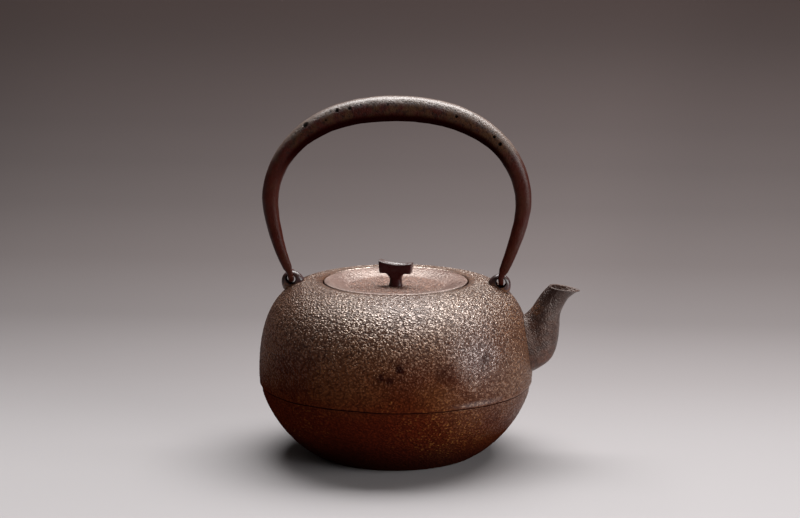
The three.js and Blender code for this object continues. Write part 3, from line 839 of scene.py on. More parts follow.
def makeVesselBase():
    foot, seam, base, floor = vessel["footRound"], vessel["seam"], vessel["base"], vessel["floor"]
    seamPlace = upAt(seam)
    places = np.linspace(foot * 1.4, seamPlace, int((seamPlace - foot) / vessel["spacing"]))
    outer = pointsAt(bodyOutline, places)
    outer[:, 0] -= vessel["seamStep"] * smoothstep(outer[:, 1], seam - vessel["seamFade"], seam - 0.6)
    groove = vessel["groove"]
    last = outer[-1] - (0, groove["height"])
    outer = np.vstack([outer[outer[:, 1] < last[1]], last, last + (-groove["depth"] * 0.7, 0.15),
                       (last[0] - groove["depth"], seam)])
    places = np.append(places[:len(outer) - 3], [seamPlace] * 3)
    under = [(r, 0) for r in (0, 14, 28, 38, 44, 48, base - 2.2, base - 1.0)] + [(base - 0.1, 0.12)]
    wallLine = inset(bodyOutline, vessel["wall"] + vessel["seamStep"])
    wallLine = wallLine[(wallLine[:, 1] > floor + 3) & (wallLine[:, 1] < seam)]
    inside = evenly(wallLine[::-1], vessel["insideSpacing"])
    inside[0, 1] = seam
    corner = [(inside[-1, 0] - 3.5, floor + 0.6), (inside[-1, 0] - 8, floor)]
    outline = np.vstack([under, outer, inside, corner, [(34, floor), (18, floor), (0, floor)]])
    outerEnd = len(under) + len(outer)
    up = np.zeros(len(outline))
    up[len(under):outerEnd] = places
    up[outerEnd:] = seamPlace
    relief = np.zeros(len(outline))
    relief[len(under):outerEnd] = smoothstep(places, 0, 5)
    relief[len(under):outerEnd] *= 1 - 0.85 * smoothstep(places, seamPlace - 2.2, seamPlace)
    # painted shade in the groove at the seam
    hole = np.zeros(len(outline))
    hole[outerEnd - 2:outerEnd + 1] = 1
    return castVessel(outlineObject("vesselBase", outline, up, relief, pitting=1.0, hole=hole))


vesselUpper = makeVesselUpper()
vesselBase = makeVesselBase()
print("vessel cast:", len(vesselUpper.data.polygons), "and", len(vesselBase.data.polygons), "faces")


# Spout: sections from its root inside the wall to the beak, as upper and lower edges outward from the body's
# radius and up from its equator
spout = {
    "stations": [
        {"upper": (-9.2, 24.9), "lower": (-9.2, -3.1), "halfDepth": 13, "wall": 3},
        {"upper": (-5.7, 30.9), "lower": (2.3, 1.1), "halfDepth": 13, "wall": 3},
        {"upper": (-4.1, 34.4), "lower": (12, 8.8), "halfDepth": 12.4, "wall": 3},
        {"upper": (-3.1, 37.2), "lower": (15.9, 19.4), "halfDepth": 11.4, "wall": 3},
        {"upper": (-2.1, 39.9), "lower": (17, 29.4), "halfDepth": 10.2, "wall": 2.9},
        {"upper": (0.1, 43.9), "lower": (17.6, 38.4), "halfDepth": 9, "wall": 2.7},
        {"upper": (3.9, 49.9), "lower": (21.3, 46.4), "halfDepth": 8.2, "wall": 2.3},
        {"upper": (6.7, 53.3), "lower": (24.4, 49.9), "halfDepth": 8.2, "wall": 1.9},
        {"upper": (9.9, 56.4), "lower": (29.6, 53.5), "halfDepth": 8.5, "wall": 1.5},
    ],
    "pinch": 0.3, "rings": 130, "sides": 100, "seed": 11.0,
    "bore": {"past": 6.0, "upTo": 0.7, "rings": 40},
    "core": {"sunk": 1.6, "spacing": 2.5, "sides": 240, "from": 1},
    "fillet": {"reach": 8.5, "above": 4.6, "beside": 1.3, "below": 0.0},
    "lip": [{"across": 0.12, "rise": 0.28}, {"across": 0.35, "rise": 0.5},
            {"across": 0.65, "rise": 0.5}, {"across": 0.88, "rise": 0.28}], "lipDrop": 0.5,
    "skin": {"Wrinkle depth": 0.1, "Wrinkle size": 2.2, "Stretch": 1.0, "Pit depth": 0.2, "Pit size": 3.4,
             "Pit share": 0.22, "Dimple depth": 0.12, "Dimple size": 6.0,
             "Wave depth": 0.3, "Wave size": 17.0},
}


# The smooth line through the stations' values, a Catmull-Rom spline
def throughStations(key, place):
    values = np.array([station[key] for station in spout["stations"]], float)
    point = place * (len(values) - 1)
    i = min(int(point), len(values) - 2)
    t = point - i
    p0, p1, p2, p3 = (values[np.clip(i + k, 0, len(values) - 1)] for k in (-1, 0, 1, 2))
    v0, v1 = (p2 - p0) * 0.5, (p3 - p1) * 0.5
    return (2 * p1 - 2 * p2 + v0 + v1) * t ** 3 + (-3 * p1 + 3 * p2 - 2 * v0 - v1) * t * t + v0 * t + p1


def spoutRing(place, shrink, ahead=0.0):
    keys = ("upper", "lower", "halfDepth", "wall")
    upper, lower, depth, skin = (throughStations(key, place) for key in keys)
    middle, half = (upper + lower) / 2, (lower - upper) / 2
    size = np.linalg.norm(half)
    inPlane = half / size * (size - shrink * skin)
    forward = np.array([-half[1], half[0]]) / size * ahead
    turn = turnsOf(spout["sides"])
    x = middle[0] + inPlane[0] * np.cos(turn) + forward[0]
    z = middle[1] + inPlane[1] * np.cos(turn) + forward[1]
    y = (depth - shrink * skin) * np.sin(turn) * (1 - spout["pinch"] * place ** 4 * np.cos(turn))
    return np.stack([vessel["radius"] + x, y, vessel["equator"] + z], -1)


def boreSolid():
    bore = spout["bore"]
    places = np.linspace(0, bore["upTo"], bore["rings"])
    return loft("boreCutter", [spoutRing(0, 1, -bore["past"])] + [spoutRing(place, 1) for place in places])


# The body's drawn form moved inwards, which the root of the spout is cut off by
def wallCore():
    core = evenly(inset(bodyOutline, spout["core"]["sunk"]), spout["core"]["spacing"])
    turn = turnsOf(spout["core"]["sides"])
    rings = [np.stack([r * np.cos(turn), r * np.sin(turn), np.full(len(turn), z)], -1)
             for r, z in core if z > spout["core"]["from"]]
    return loft("wallCore", rings)


def makeSpout():
    fillet, drop = spout["fillet"], spout["lipDrop"]
    places = np.linspace(0, 1, spout["rings"])
    outer = np.array([spoutRing(place, 0) for place in places])
    inner = np.array([spoutRing(place, 1) for place in places])[::-1]
    # where the skin nears the body it flares into it, as the mould's fillet does
    away = outer - outer.mean(1, keepdims=True)
    away /= np.linalg.norm(away, axis=2, keepdims=True)
    turn = turnsOf(spout["sides"])
    flare = fillet["beside"] + (fillet["above"] - fillet["beside"]) * np.clip(-np.cos(turn), 0, 1)
    flare += (fillet["below"] - fillet["beside"]) * np.clip(np.cos(turn), 0, 1)
    distance = fromBody(np.hypot(outer[..., 0], outer[..., 1]), outer[..., 2])
    closeness = np.clip(1 - distance / fillet["reach"], 0, 1)
    outer = outer + away * (flare * closeness ** 2)[..., None]
    # the lip turns over from the outside to the bore
    last, first = outer[-1], inner[0]
    ahead = spoutRing(1, 0, 1.0) - spoutRing(1, 0)
    lip = np.array([last * (1 - step["across"]) + first * step["across"] + ahead * (step["rise"] - drop)
                    for step in spout["lip"]])
    outer[-1] = last - ahead * drop
    inner[0] = first - ahead * drop
    rings = np.concatenate([outer, lip, inner])
    relief = np.zeros(rings.shape[:2])
    relief[:len(outer)] = (1 - 0.9 * smoothstep(places, 0.93, 1.0))[:, None]
    marks = {"up": rings[..., 2], "relief": relief, "pitting": np.ones_like(relief)}
    made = loft("spoutCasting", rings, looped=True, marks=marks)
    return cut(castPiece(made, spoutPatina, spout["skin"], spout["seed"]), wallCore())


spoutPiece = makeSpout()
cut(vesselUpper, boreSolid())
print("spout cast:", len(spoutPiece.data.polygons), "faces")


# Lugs: rounded ears, flat in front and behind, with a round eye for the handle's hook
lug = {
    "distance": 66.3, "halfWidth": 7.6, "height": 9.0, "halfDepth": 5.0, "faceDepth": 3.2, "root": 2.3,
    "hole": {"radius": 2.8, "outward": -0.2, "land": 0.8, "round": 0.7}, "faceEdge": 2.2,
    "sides": 96, "steps": 18, "leftSeed": 21.0, "rightSeed": 25.0,
    "skin": {"Wrinkle depth": 0.05, "Wrinkle size": 2.0, "Stretch": 1.0, "Pit depth": 0.12, "Pit size": 2.4,
             "Pit share": 0.15, "Dimple depth": 0.12, "Dimple size": 4.5,
             "Wave depth": 0.12, "Wave size": 8.0},
}
shoulderIndex = int(np.argmin(np.abs(shoulder[:, 0] - lug["distance"])))
shoulderSlope = shoulder[shoulderIndex - 1] - shoulder[shoulderIndex + 1]
lugLean = math.atan2(-shoulderSlope[1], shoulderSlope[0])
lugFoot = np.array([lug["distance"], np.interp(-lug["distance"], -shoulder[:, 0], shoulder[:, 1])])
lugRise = lug["hole"]["radius"] + lug["hole"]["land"]


# From outward and up on the lug to radius and height
def lugTurned(outward, up):
    c, s = math.cos(-lugLean), math.sin(-lugLean)
    return np.stack([outward * c - up * s, outward * s + up * c], -1) + lugFoot


lugEye = lugTurned(lug["hole"]["outward"], lugRise)


# Half the lug's depth at points on its face: a dome, flattened by a smooth minimum, rounded at the eye's edge
def lugDepth(point, rim):
    tall = np.where(point[:, 1] > 0, lug["height"], lug["root"])
    out = np.clip((point[:, 0] / lug["halfWidth"]) ** 2 + (point[:, 1] / tall) ** 2, 0, 1)
    dome = lug["halfDepth"] * np.sqrt(1 - out)
    edge, rounded = lug["faceEdge"], lug["hole"]["round"]
    depth = -np.log(np.exp(-dome * edge) + np.exp(-lug["faceDepth"] * edge)) / edge
    rounding = np.clip(1 - np.linalg.norm(point - rim, axis=1) / rounded, 0, 1)
    return np.maximum(np.maximum(depth, 0) - rounded * (1 - np.sqrt(1 - rounding ** 2)), 0)


def makeLug(name, side, seed):
    turn = turnsOf(lug["sides"])
    tall = np.where(np.sin(turn) > 0, lug["height"], lug["root"])
    edge = np.stack([lug["halfWidth"] * np.cos(turn), tall * np.sin(turn)], -1)
    eye = np.array([lug["hole"]["outward"], lugRise])
    ray = edge - eye
    rim = eye + ray / np.linalg.norm(ray, axis=1)[:, None] * lug["hole"]["radius"]
    steps = [rim + (edge - rim) * place for place in np.sin(np.linspace(0, math.pi / 2, lug["steps"]))]
    face = [(point, lugDepth(point, rim)) for point in steps]
    rows = [(point, -depth) for point, depth in face[::-1]] + face[:-1]
    rings = []
    for point, depth in rows:
        flat = lugTurned(point[:, 0], point[:, 1])
        rings.append(np.stack([side * flat[:, 0], depth, flat[:, 1]], -1))
    rings = np.array(rings)
    relief = np.ones(rings.shape[:2])
    # painted shade in and round the eye
    fromEye = np.hypot(rings[..., 0] - side * lugEye[0], rings[..., 2] - lugEye[1]) - lug["hole"]["radius"]
    dark = 1 - smoothstep(fromEye, 0.3, 1.1)
    marks = {"up": rings[..., 2], "relief": relief, "pitting": relief, "hole": dark}
    return castPiece(loft(name, rings, looped=True, marks=marks), lugPolish, lug["skin"], seed)


lugLeft = makeLug("lugLeft", -1, lug["leftSeed"])
lugRight = makeLug("lugRight", 1, lug["rightSeed"])
print("lugs cast:", len(lugLeft.data.polygons), "faces each")


# Handle: a hollow of forged sheet between two solid hooks. A size is the rise above the pivot with the half
# sizes in the handle's plane and across it. A pinhole lies along half the arch, turned from the top forwards
handle = {
    "rise": 107.0, "halfSpan": 81.3, "spanRise": 47.3, "archTop": 63.4, "archSide": 22.2,
    "legTop": 17.0, "legFoot": 8.7, "legLean": 22.6, "endRise": 19.5,
    "hookRadius": 5.4, "hookEnd": 184.0, "hookRings": 43, "swingFrom": 3.0, "swingTo": 40.0,
    "sizes": [(0, 1.8, 1.2), (2, 2.2, 1.4), (4, 3.0, 1.7), (9, 3.6, 2.7), (24, 4.5, 4.2), (48, 5.5, 5.2),
              (71, 6.1, 5.9), (88, 6.8, 6.6), (107, 8.4, 7.6)],
    "inHole": (1.55, 1.15), "inHoleFrom": 40, "tip": (1.3, 0.9),
    "tipRounding": [{"shrink": 0.25, "ahead": 0.35}, {"shrink": 0.6, "ahead": 0.55}],
    "squareness": 0.86, "sway": 1.0, "spacing": 0.5, "sides": 96, "seed": 31.0,
    "pinholes": [
        {"along": 0.18, "side": -1, "turn": 58, "radius": 0.75},
        {"along": 0.24, "side": -1, "turn": 50, "radius": 1.0},
        {"along": 0.43, "side": -1, "turn": 40, "radius": 1.35},
        {"along": 0.47, "side": 1, "turn": 66, "radius": 0.7},
        {"along": 0.52, "side": 1, "turn": 74, "radius": 0.9},
        {"along": 0.3, "side": -1, "turn": 78, "radius": 0.5},
        {"along": 0.03, "side": -1, "turn": 64, "radius": 0.45},
        {"along": 0.24, "side": 1, "turn": 74, "radius": 0.6},
        {"along": 0.33, "side": 1, "turn": 30, "radius": 0.4},
    ],
    "holeDepth": 2.4,
    "skin": {"Wrinkle depth": 0.09, "Wrinkle size": 1.7, "Stretch": 1.0, "Pit depth": 0.35, "Pit size": 2.1,
             "Pit share": 0.42, "Dimple depth": 0.22, "Dimple size": 8.0,
             "Wave depth": 0.35, "Wave size": 19.0},
}
hookX = lugEye[0]
pivotHeight = next(joint for joint in frame["joints"] if joint["name"] == "handle_tilt")["pos_m"][2] / mm
archHeight = pivotHeight + handle["rise"]
spanHeight = pivotHeight + handle["spanRise"]
lean = math.radians(handle["legLean"])
arch = bezier((0, archHeight), (handle["archTop"], archHeight),
              (handle["halfSpan"], spanHeight + handle["archSide"]), (handle["halfSpan"], spanHeight))
leg = bezier((handle["halfSpan"], spanHeight), (handle["halfSpan"], spanHeight - handle["legTop"]),
             (hookX + handle["legFoot"] * math.sin(lean), pivotHeight + handle["legFoot"] * math.cos(lean)),
             (hookX, pivotHeight))


def handleSize(height):
    rise, inPlane, across = np.array(handle["sizes"]).T
    return np.array([np.interp(height - pivotHeight, rise, size) for size in (inPlane, across)])


# The right half of the handle's middle line, from the arch's top to the hook's tip, with its half sizes
def handleLine():
    flat = evenly(np.vstack([arch, leg[1:]]), handle["spacing"])
    swing = 1 - smoothstep(flat[:, 1], pivotHeight + handle["swingFrom"], pivotHeight + handle["swingTo"])
    line = np.stack([flat[:, 0], -handle["hookRadius"] * swing, flat[:, 1]], -1)
    sizes = np.array([handleSize(z) for z in flat[:, 1]])
    turns = np.radians(np.linspace(0, handle["hookEnd"], handle["hookRings"] + 1)[1:])
    hook = np.stack([np.full(len(turns), hookX), -handle["hookRadius"] * np.cos(turns),
                     pivotHeight - handle["hookRadius"] * np.sin(turns)], -1)
    foot, hole, tip = handleSize(pivotHeight), np.array(handle["inHole"]), np.array(handle["tip"])
    inHole = smoothstep(turns, 0, math.radians(handle["inHoleFrom"]))[:, None]
    atTip = smoothstep(turns, math.pi / 2, math.radians(handle["hookEnd"]))[:, None]
    hookSizes = (foot * (1 - inHole) + hole * inHole) * (1 - atTip) + tip * atTip
    return np.vstack([line, hook]), np.vstack([sizes, hookSizes])


handlePath, handleSizes = handleLine()
handleAlong = np.gradient(handlePath, axis=0)
handleAlong[0] = (1, 0, 0)
handleAlong /= np.linalg.norm(handleAlong, axis=1)[:, None]
handleInward = np.empty_like(handleAlong)
carried = np.array([0, 0, -1.0])
for i, along in enumerate(handleAlong):
    carried = carried - along * carried.dot(along)
    carried /= np.linalg.norm(carried)
    handleInward[i] = carried
handleAcross = np.cross(handleAlong, handleInward)
hookStart = int(np.argmin(np.abs(handlePath[:, 2] - pivotHeight - handle["endRise"])))


# A section of the handle, round with slightly flattened sides
def handleRing(i, shrink=0.0, ahead=0.0):
    turn = turnsOf(handle["sides"])
    parts = (np.cos(turn), np.sin(turn))
    inward, across = (np.sign(part) * np.abs(part) ** handle["squareness"] for part in parts)
    ring = handlePath[i] + np.outer(inward * (handleSizes[i, 0] - shrink), handleInward[i])
    return ring + np.outer(across * (handleSizes[i, 1] - shrink), handleAcross[i]) + handleAlong[i] * ahead


# The smith bent the arch a little to one side
def swayed(points):
    points = np.array(points)
    points[..., 0] += handle["sway"] * smoothstep(points[..., 2], pivotHeight + 8, archHeight)
    return points


# How worn, how pitted and how dark a place each point of the handle's skin has, by its turn and its height.
# The top is painted lighter, partly wear and partly a painted highlight, and the underside is painted dark as
# painted shade
def handleMarks(rings):
    fromTop = np.abs(180 - np.degrees(turnsOf(handle["sides"])))
    height = ((rings[..., 2].mean(1) - pivotHeight) / handle["rise"])[:, None]
    worn = (1 - smoothstep(fromTop, 35, 90)) * (0.25 + 0.75 * smoothstep(height, 0.5, 0.9))
    band = smoothstep(fromTop, 28, 55) * (1 - smoothstep(fromTop, 115, 150))
    pitting = np.maximum(band * (0.25 + 0.75 * smoothstep(height, 0.55, 0.85)), 0.12)
    # painted shade: the underside of the upper arch
    under = smoothstep(fromTop, 84, 124) * smoothstep(height, 0.5, 0.8)
    return {"worn": worn, "pitting": pitting, "under": under, "relief": np.ones_like(worn),
            "up": rings[..., 2], "hole": np.zeros_like(worn)}


def sinkPinholes(rings, marks):
    for hole in handle["pinholes"]:
        point = arch[int(hole["along"] * (len(arch) - 1))]
        turn = math.radians(hole["turn"])
        outward = np.array([0, -math.sin(turn), math.cos(turn)])
        offset = rings - swayed([hole["side"] * point[0], 0, point[1]])
        reach = offset @ outward
        aside = np.linalg.norm(offset - reach[..., None] * outward, axis=2)
        ragged = hole["radius"] * (1 + 0.15 * np.sin(5 * offset[..., 0] + 3 * offset[..., 1]))
        aside = np.where(reach > 0, aside / ragged, np.inf)
        rings -= outward * ((1 - smoothstep(aside, 0.7, 1.15)) * handle["holeDepth"])[..., None]
        # the pinholes' insides are painted dark: painted shade
        marks["hole"] = np.maximum(marks["hole"], 1 - smoothstep(aside, 0.75, 1.25))
    return rings


def forgedPiece(name, rings, marks):
    made = openEnds(loft(name, rings, marks=marks))
    return capEnds(castPiece(made, forgedPatina, handle["skin"], handle["seed"]))


def makeHandleTube():
    half = np.array([handleRing(i) for i in range(hookStart + 1)])
    rings = swayed(np.concatenate([half[:0:-1] * (-1, 1, 1), half]))
    marks = handleMarks(rings)
    # the sheet's edges meet along the inside of the arch
    turn = np.degrees(turnsOf(handle["sides"]))
    marks["hole"] = marks["hole"] + 0.5 * (np.minimum(turn, 360 - turn) < 2)
    return forgedPiece("handleTube", sinkPinholes(rings, marks), marks)


def makeHook(name, side):
    rings = [handleRing(i) for i in range(hookStart, len(handlePath))]
    rings += [handleRing(len(handlePath) - 1, **step) for step in handle["tipRounding"]]
    rings = swayed(np.array(rings) * (side, 1, 1))
    marks = handleMarks(rings)
    marks["worn"] = marks["worn"] * 0.35
    marks["relief"] = smoothstep(rings[..., 2], pivotHeight - 3, pivotHeight + 14)
    return forgedPiece(name, rings, marks)


handleTube = makeHandleTube()
hookLeft = makeHook("hookLeft", -1)
hookRight = makeHook("hookRight", 1)
print("handle forged:", len(handleTube.data.polygons), "faces")


# Lid: a dished plate with a worn rim, pitted in the middle, and a collar that keeps it in the mouth
lid = {
    "radius": 46.3, "top": 112.4, "plate": 3.0, "edgeRound": 0.9, "dishDepth": 3.8, "dishRadius": 30.0,
    "rimWidth": 7.0, "collarOuter": 40.8, "collarWall": 2.4, "collarDepth": 6.0, "collarTaper": 0.3,
    "rivetHole": 2.6, "spacing": 0.62, "columns": 480, "pittedTo": 31.0, "worn": 0.25, "seed": 41.0,
    "skin": {"Wrinkle depth": 0.2, "Wrinkle size": 1.3, "Stretch": 1.0, "Pit depth": 0.25, "Pit size": 1.7,
             "Pit share": 0.55, "Dimple depth": 0.05, "Dimple size": 7.0,
             "Wave depth": 0.2, "Wave size": 18.0},
}
dishHeight = lid["top"] - lid["dishDepth"]
lidUnderside = dishHeight - lid["plate"]


# The lid's outline from the edge of its plate down round the collar and back to the rivet's hole
def lidUnder():
    ledge, outer, taper, hole = vessel["ledge"], lid["collarOuter"], lid["collarTaper"], lid["rivetHole"]
    inner, bottom = outer - lid["collarWall"], ledge - lid["collarDepth"]
    return [
        (lid["radius"], ledge + 0.3), (lid["radius"] - 0.3, ledge),
        (outer + 0.4, ledge), (outer, ledge - 0.4),
        (outer - taper, bottom + 0.5), (outer - taper - 0.5, bottom),
        (inner + 0.5, bottom), (inner, bottom + 0.5),
        (inner - taper, lidUnderside - 0.8), (inner - taper - 0.8, lidUnderside),
        (24, lidUnderside), (12, lidUnderside), (hole, lidUnderside), (hole, dishHeight)]


def makeLid():
    edge = lid["radius"] - lid["edgeRound"]
    slope = bezier((lid["dishRadius"], dishHeight), (lid["dishRadius"] + lid["rimWidth"] / 2, dishHeight),
                   (edge - lid["rimWidth"], lid["top"]), (edge, lid["top"]))
    top = evenly(np.vstack([[(lid["rivetHole"], dishHeight)], slope]), lid["spacing"])
    lip = arc((edge, lid["top"] - lid["edgeRound"]), lid["edgeRound"], 90, 0, 6)[1:]
    outline = np.vstack([top, lip, lidUnder()])
    relief, pitting, worn, hole = np.zeros((4, len(outline)))
    radius = top[:, 0]
    relief[:len(top)] = 1 - 0.9 * smoothstep(radius, edge - 2, edge)
    pitting[:len(top)] = 1 - smoothstep(radius, lid["pittedTo"] - 2, lid["pittedTo"] + 2)
    worn[:len(top)] = lid["worn"] * smoothstep(radius, edge - 1.6, edge - 0.3)
    worn[len(top):len(top) + 2] = lid["worn"]
    # painted shade darkens the gap round the rim
    hole[len(top) + 2:len(top) + 8] = 1
    outlined = outlineObject("lidPlate", outline, outline[:, 1], relief, pitting, worn, hole)
    return turnedPiece(outlined, lid["columns"], lidPatina, lid["skin"], lid["seed"])


lidPlate = makeLid()
print("lid cast:", len(lidPlate.data.polygons), "faces")


# Knob: a T with a saddle on top, its tenon and the head that is peened under the lid, and the washer there
knob = {
    "turn": -8.0, "halfLength": 11.0, "halfDepth": 4.0, "taper": 0.5, "underside": 8.8,
    "leftEnd": 17.2, "rightEnd": 15.8, "saddle": 14.8, "stem": 4.0, "stemDepth": 3.3, "foot": 4.9,
    "footDepth": 4.0, "waist": 4.6, "fillet": 3.6, "edge": 0.7, "stemPower": 2.6, "barPower": 9.6,
    "topRounding": [(0.06, 0.22), (0.2, 0.08), (0.45, 0)], "topRings": (1, 2, 3, 3.7), "topEdge": 0.45,
    "sides": 128, "barRings": 16, "spacing": 0.28, "seed": 51.0,
    "rivet": 2.3, "rivetHead": 3.9, "rivetHeadHeight": 1.8, "washerRadius": 6.0, "washer": 1.2,
    "skin": {"Wrinkle depth": 0.04, "Wrinkle size": 1.6, "Stretch": 1.0, "Pit depth": 0.08, "Pit size": 1.8,
             "Pit share": 0.2, "Dimple depth": 0.1, "Dimple size": 3.6,
             "Wave depth": 0.1, "Wave size": 7.0},
}


# A ring at a height, from an ellipse at power 2 towards a rectangle at high powers
def roundedRing(halfX, halfY, power, height):
    c, s = np.cos(turnsOf(knob["sides"])), np.sin(turnsOf(knob["sides"]))
    x, y = (half * np.sign(part) * np.abs(part) ** (2 / power) for half, part in ((halfX, c), (halfY, s)))
    return np.stack([x, y, np.full(len(x), float(height))], -1)


# The saddle: the bar's top dips between its two ends, of which the left one is higher
def saddleAt(x):
    t = np.clip((x + knob["halfLength"]) / (2 * knob["halfLength"]), 0, 1)
    middle = 2 * knob["saddle"] - (knob["leftEnd"] + knob["rightEnd"]) / 2
    return (1 - t) ** 2 * knob["leftEnd"] + 2 * t * (1 - t) * middle + t * t * knob["rightEnd"]


def stemRings():
    stem, waist, underside, rounding = knob["stem"], knob["waist"], knob["underside"], knob["edge"]
    barEnd = knob["halfLength"] - knob["taper"] - rounding
    side = evenly(np.vstack([
        bezier((knob["foot"], 0), (stem + 0.2, 1.0), (stem, 2.6), (stem, waist), 24),
        bezier((stem, waist), (stem, 6.6), (stem + 0.9, underside - 0.25),
               (stem + knob["fillet"], underside), 30)[1:],
        [(barEnd, underside)],
        arc((barEnd, underside + rounding), rounding, -70, 0, 6)]), knob["spacing"])
    heights = (0, 1.6, waist, underside)
    depths = (knob["footDepth"], knob["stemDepth"] + 0.2, knob["stemDepth"], knob["halfDepth"])
    squareness = knob["barPower"] - knob["stemPower"]
    return [roundedRing(half, np.interp(z, heights, depths),
                        knob["stemPower"] + squareness * smoothstep(z, waist, underside + rounding), z)
            for half, z in side]


def makeKnob():
    rings = stemRings()
    worn = [0.0] * len(rings)
    barStart = knob["underside"] + knob["edge"]
    for share in np.linspace(0.06, 1, knob["barRings"]):
        half = knob["halfLength"] - knob["taper"] * (1 - share)
        ring = roundedRing(half, knob["halfDepth"], knob["barPower"], 0)
        ring[:, 2] = barStart + (saddleAt(ring[:, 0]) - knob["topEdge"] - barStart) * share
        rings.append(ring)
        worn.append(float(smoothstep(share, 0.93, 1.0)) * 0.6)
    for shrink, drop in knob["topRounding"] + [(shrink, 0) for shrink in knob["topRings"]]:
        ring = roundedRing(knob["halfLength"] - shrink, knob["halfDepth"] - shrink, knob["barPower"], 0)
        ring[:, 2] = saddleAt(ring[:, 0]) - drop
        rings.append(ring)
        worn.append(1.0)
    rings = np.array(rings) + (0, 0, dishHeight)
    share = np.ones(rings.shape[:2])
    marks = {"up": rings[..., 2], "relief": share, "pitting": share, "worn": share * np.array(worn)[:, None]}
    return castPiece(loft("knobBar", rings, marks=marks), knobPatina, knob["skin"], knob["seed"])


def makeRivet():
    top, bottom, radius = dishHeight + 1.0, lidUnderside - knob["washer"], knob["rivet"]
    headBottom = bottom - knob["rivetHeadHeight"]
    head = bezier((knob["rivetHead"], bottom), (knob["rivetHead"], headBottom),
                  (radius, headBottom), (0, headBottom), 14)
    outline = np.vstack([[(0, top), (radius, top), (radius, bottom)], head])
    return turnedPiece(outlineObject("rivet", outline, 0.0, 0.0), 64, knobPatina)


def makeKnobPiece():
    made = cut(makeKnob(), makeRivet(), "UNION")
    turn = math.radians(knob["turn"])
    points = pointsOf(made)
    x, y = points[:, 0].copy(), points[:, 1].copy()
    points[:, 0] = x * math.cos(turn) - y * math.sin(turn)
    points[:, 1] = x * math.sin(turn) + y * math.cos(turn)
    return movePoints(made, points)


def makeWasher():
    top, bottom, hole, r = lidUnderside, lidUnderside - knob["washer"], lid["rivetHole"], knob["washerRadius"]
    outline = np.array([
        (hole, bottom), (r - 0.3, bottom), (r - 0.08, bottom + 0.1), (r, bottom + 0.3),
        (r, top - 0.3), (r - 0.08, top - 0.1), (r - 0.3, top), (hole, top), (hole, bottom)])
    return turnedPiece(outlineObject("knobWasher", outline, 0.0, 0.0), 96, knobPatina)


knobPiece = makeKnobPiece()
washerPiece = makeWasher()
print("knob cast:", len(knobPiece.data.polygons), "faces")


# What each piece stands for, the body that it moves with and its finish in the record
pieces = [
    (vesselUpper, "vessel", "vessel_upper", "vessel_iron"),
    (vesselBase, "vessel", "vessel_base", "vessel_iron"),
    (spoutPiece, "vessel", "spout", "smooth_iron"),
    (lugLeft, "vessel", "lug_left", "smooth_iron"),
    (lugRight, "vessel", "lug_right", "smooth_iron"),
    (handleTube, "handle", "handle_tube", "forged_iron"),
    (hookLeft, "handle", "handle_hook_left", "forged_iron"),
    (hookRight, "handle", "handle_hook_right", "forged_iron"),
    (lidPlate, "lid", "lid", "lid_iron"),
    (washerPiece, "lid", "knob_washer", "knob_iron"),
    (knobPiece, "knob", "lid_knob", "knob_iron"),
]
for piece, body, node, finish in pieces:
    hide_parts(node)
    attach(piece, body)
print("pieces placed on their bodies")


# Studio, in metres: a seamless pale sheet, a large soft light overhead, a softer one low on the right.
# A sheet colour is the distance along the sheet with its painted brightness there, painted light and shade,
# and its share of the far tint
studio = {
    "sheetColours": [
        (-1.3, 0.12, 0.0), (-0.75, 0.14, 0.0), (-0.42, 0.25, 0.0), (-0.24, 0.372, 0.0), (0.05, 0.258, 0.05),
        (0.2, 0.187, 0.2), (0.4, 0.115, 0.45), (0.65, 0.091, 0.75), (0.95, 0.09, 0.85), (1.25, 0.11, 0.9),
        (1.6, 0.16, 0.95), (1.9, 0.223, 1.0), (2.3, 0.319, 1.0), (2.8, 0.44, 1.0), (3.6, 0.655, 1.0)],
    "sheetNear": (1.0, 0.945, 0.955), "sheetFar": (1.0, 0.78, 0.75), "sheetRoughness": 0.85,
    "sideFall": 0.13, "edgeFall": 0.11,
    "front": -5.0, "back": 5.0, "bend": 1.2, "bendSteps": 15, "wallTop": 3.0, "halfWidth": 5.0,
    "worldColour": (1.0, 0.88, 0.84), "worldStrength": 0.06,
    "lights": [
        {"name": "overhead", "at": (0.16, 0.42, 1.15), "aim": (0.16, 0.42, 0),
         "size": (1.4, 0.8), "power": 40},
        {"name": "sideRight", "at": (1.9, -1.1, 0.62), "aim": (0, 0, 0.1),
         "size": (1.9, 1.2), "power": 46},
    ],
}


# The sheet's colour by the distance along it, a little darker at the left and at both far edges: painted
# light and shade
def makeSheetPaper():
    material = bpy.data.materials.new("backdropSheet")
    material.use_nodes = True
    tree = material.node_tree
    shader = tree.nodes["Principled BSDF"]
    x, y, z = separated(tree, addNode(tree, "ShaderNodeTexCoord").outputs["Object"])
    nearest, furthest = studio["sheetColours"][0][0], studio["sheetColours"][-1][0]
    along = spread(tree, plus(tree, y, z), nearest, furthest, smooth=False)
    ramp = addNode(tree, "ShaderNodeValToRGB", {"Fac": along})
    stops = ramp.color_ramp.elements
    stops.remove(stops[1])
    for number, (distance, brightness, warmth) in enumerate(studio["sheetColours"]):
        stop = stops[0] if number == 0 else stops.new((distance - nearest) / (furthest - nearest))
        tint = [near + (far - near) * warmth for near, far in zip(studio["sheetNear"], studio["sheetFar"])]
        stop.color = (*(brightness * part for part in tint), 1)
    across = divided(tree, x, plus(tree, y, 1.6))
    left = times(tree, fade(tree, across, -0.2, 0.05), spread(tree, y, -0.05, 0.35, 0.0, studio["sideFall"]))
    farRight = times(tree, spread(tree, across, 0.035, 0.09), spread(tree, y, 0.1, 0.7))
    edges = times(tree, larger(tree, fade(tree, across, -0.25, -0.17), farRight), studio["edgeFall"])
    shaded = scaled(tree, ramp.outputs["Color"], minus(tree, 1.0, left, edges))
    tree.links.new(shaded, shader.inputs["Base Color"])
    shader.inputs["Roughness"].default_value = studio["sheetRoughness"]
    return material


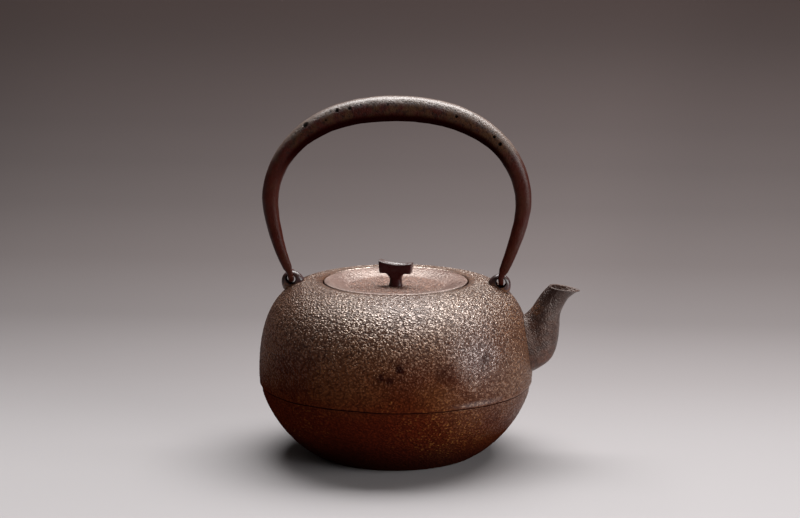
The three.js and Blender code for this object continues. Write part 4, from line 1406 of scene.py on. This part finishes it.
def makeBackdrop():
    bend, back = studio["bend"], studio["back"]
    line = [(studio["front"], 0.0), (back, 0.0)]
    turns = np.linspace(0, math.pi / 2, studio["bendSteps"] + 1)[1:]
    line += [(back + bend * math.sin(turn), bend * (1 - math.cos(turn))) for turn in turns]
    line += [(back + bend, studio["wallTop"])]
    points = [(x * studio["halfWidth"] / mm, y / mm, z / mm) for y, z in line for x in (-1, 1)]
    faces = [(2 * i, 2 * i + 1, 2 * i + 3, 2 * i + 2) for i in range(len(line) - 1)]
    made = meshObject("backdrop", points, faces)
    made.data.shade_smooth()
    made.data.materials.append(makeSheetPaper())


def makeLights():
    for light in studio["lights"]:
        data = bpy.data.lights.new(light["name"], "AREA")
        data.shape = "RECTANGLE"
        data.size, data.size_y = light["size"]
        data.energy = light["power"]
        made = bpy.data.objects.new(light["name"], data)
        made.location = light["at"]
        made.rotation_euler = (Vector(light["aim"]) - Vector(light["at"])).to_track_quat("-Z", "Y").to_euler()
        bpy.context.scene.collection.objects.link(made)
    world = bpy.data.worlds.new("studioWorld")
    world.use_nodes = True
    background = world.node_tree.nodes["Background"]
    background.inputs["Color"].default_value = (*studio["worldColour"], 1)
    background.inputs["Strength"].default_value = studio["worldStrength"]
    bpy.context.scene.world = world


# Camera at the photograph's angle: 5 degrees to the right of the front, 10.8 degrees down, a long lens
camera = {
    "turn": 5.0, "pitch": 10.8, "distance": 1.531, "lens": 107.2, "sensor": 36,
    "aimAlong": 0.0027, "aimHeight": 0.1263,
}


def makeCamera():
    data = bpy.data.cameras.new("camera")
    data.lens, data.sensor_width = camera["lens"], camera["sensor"]
    turn, pitch = math.radians(camera["turn"]), math.radians(camera["pitch"])
    along = camera["aimAlong"]
    target = Vector((along * math.cos(turn), along * math.sin(turn), camera["aimHeight"]))
    back = Vector((math.sin(turn) * math.cos(pitch), -math.cos(turn) * math.cos(pitch), math.sin(pitch)))
    made = bpy.data.objects.new("camera", data)
    made.location = target + back * camera["distance"]
    made.rotation_euler = (-back).to_track_quat("-Z", "Y").to_euler()
    bpy.context.scene.collection.objects.link(made)
    bpy.context.scene.camera = made


makeBackdrop()
makeLights()
makeCamera()
bpy.context.scene.view_settings.view_transform = "Standard"
print("studio set")
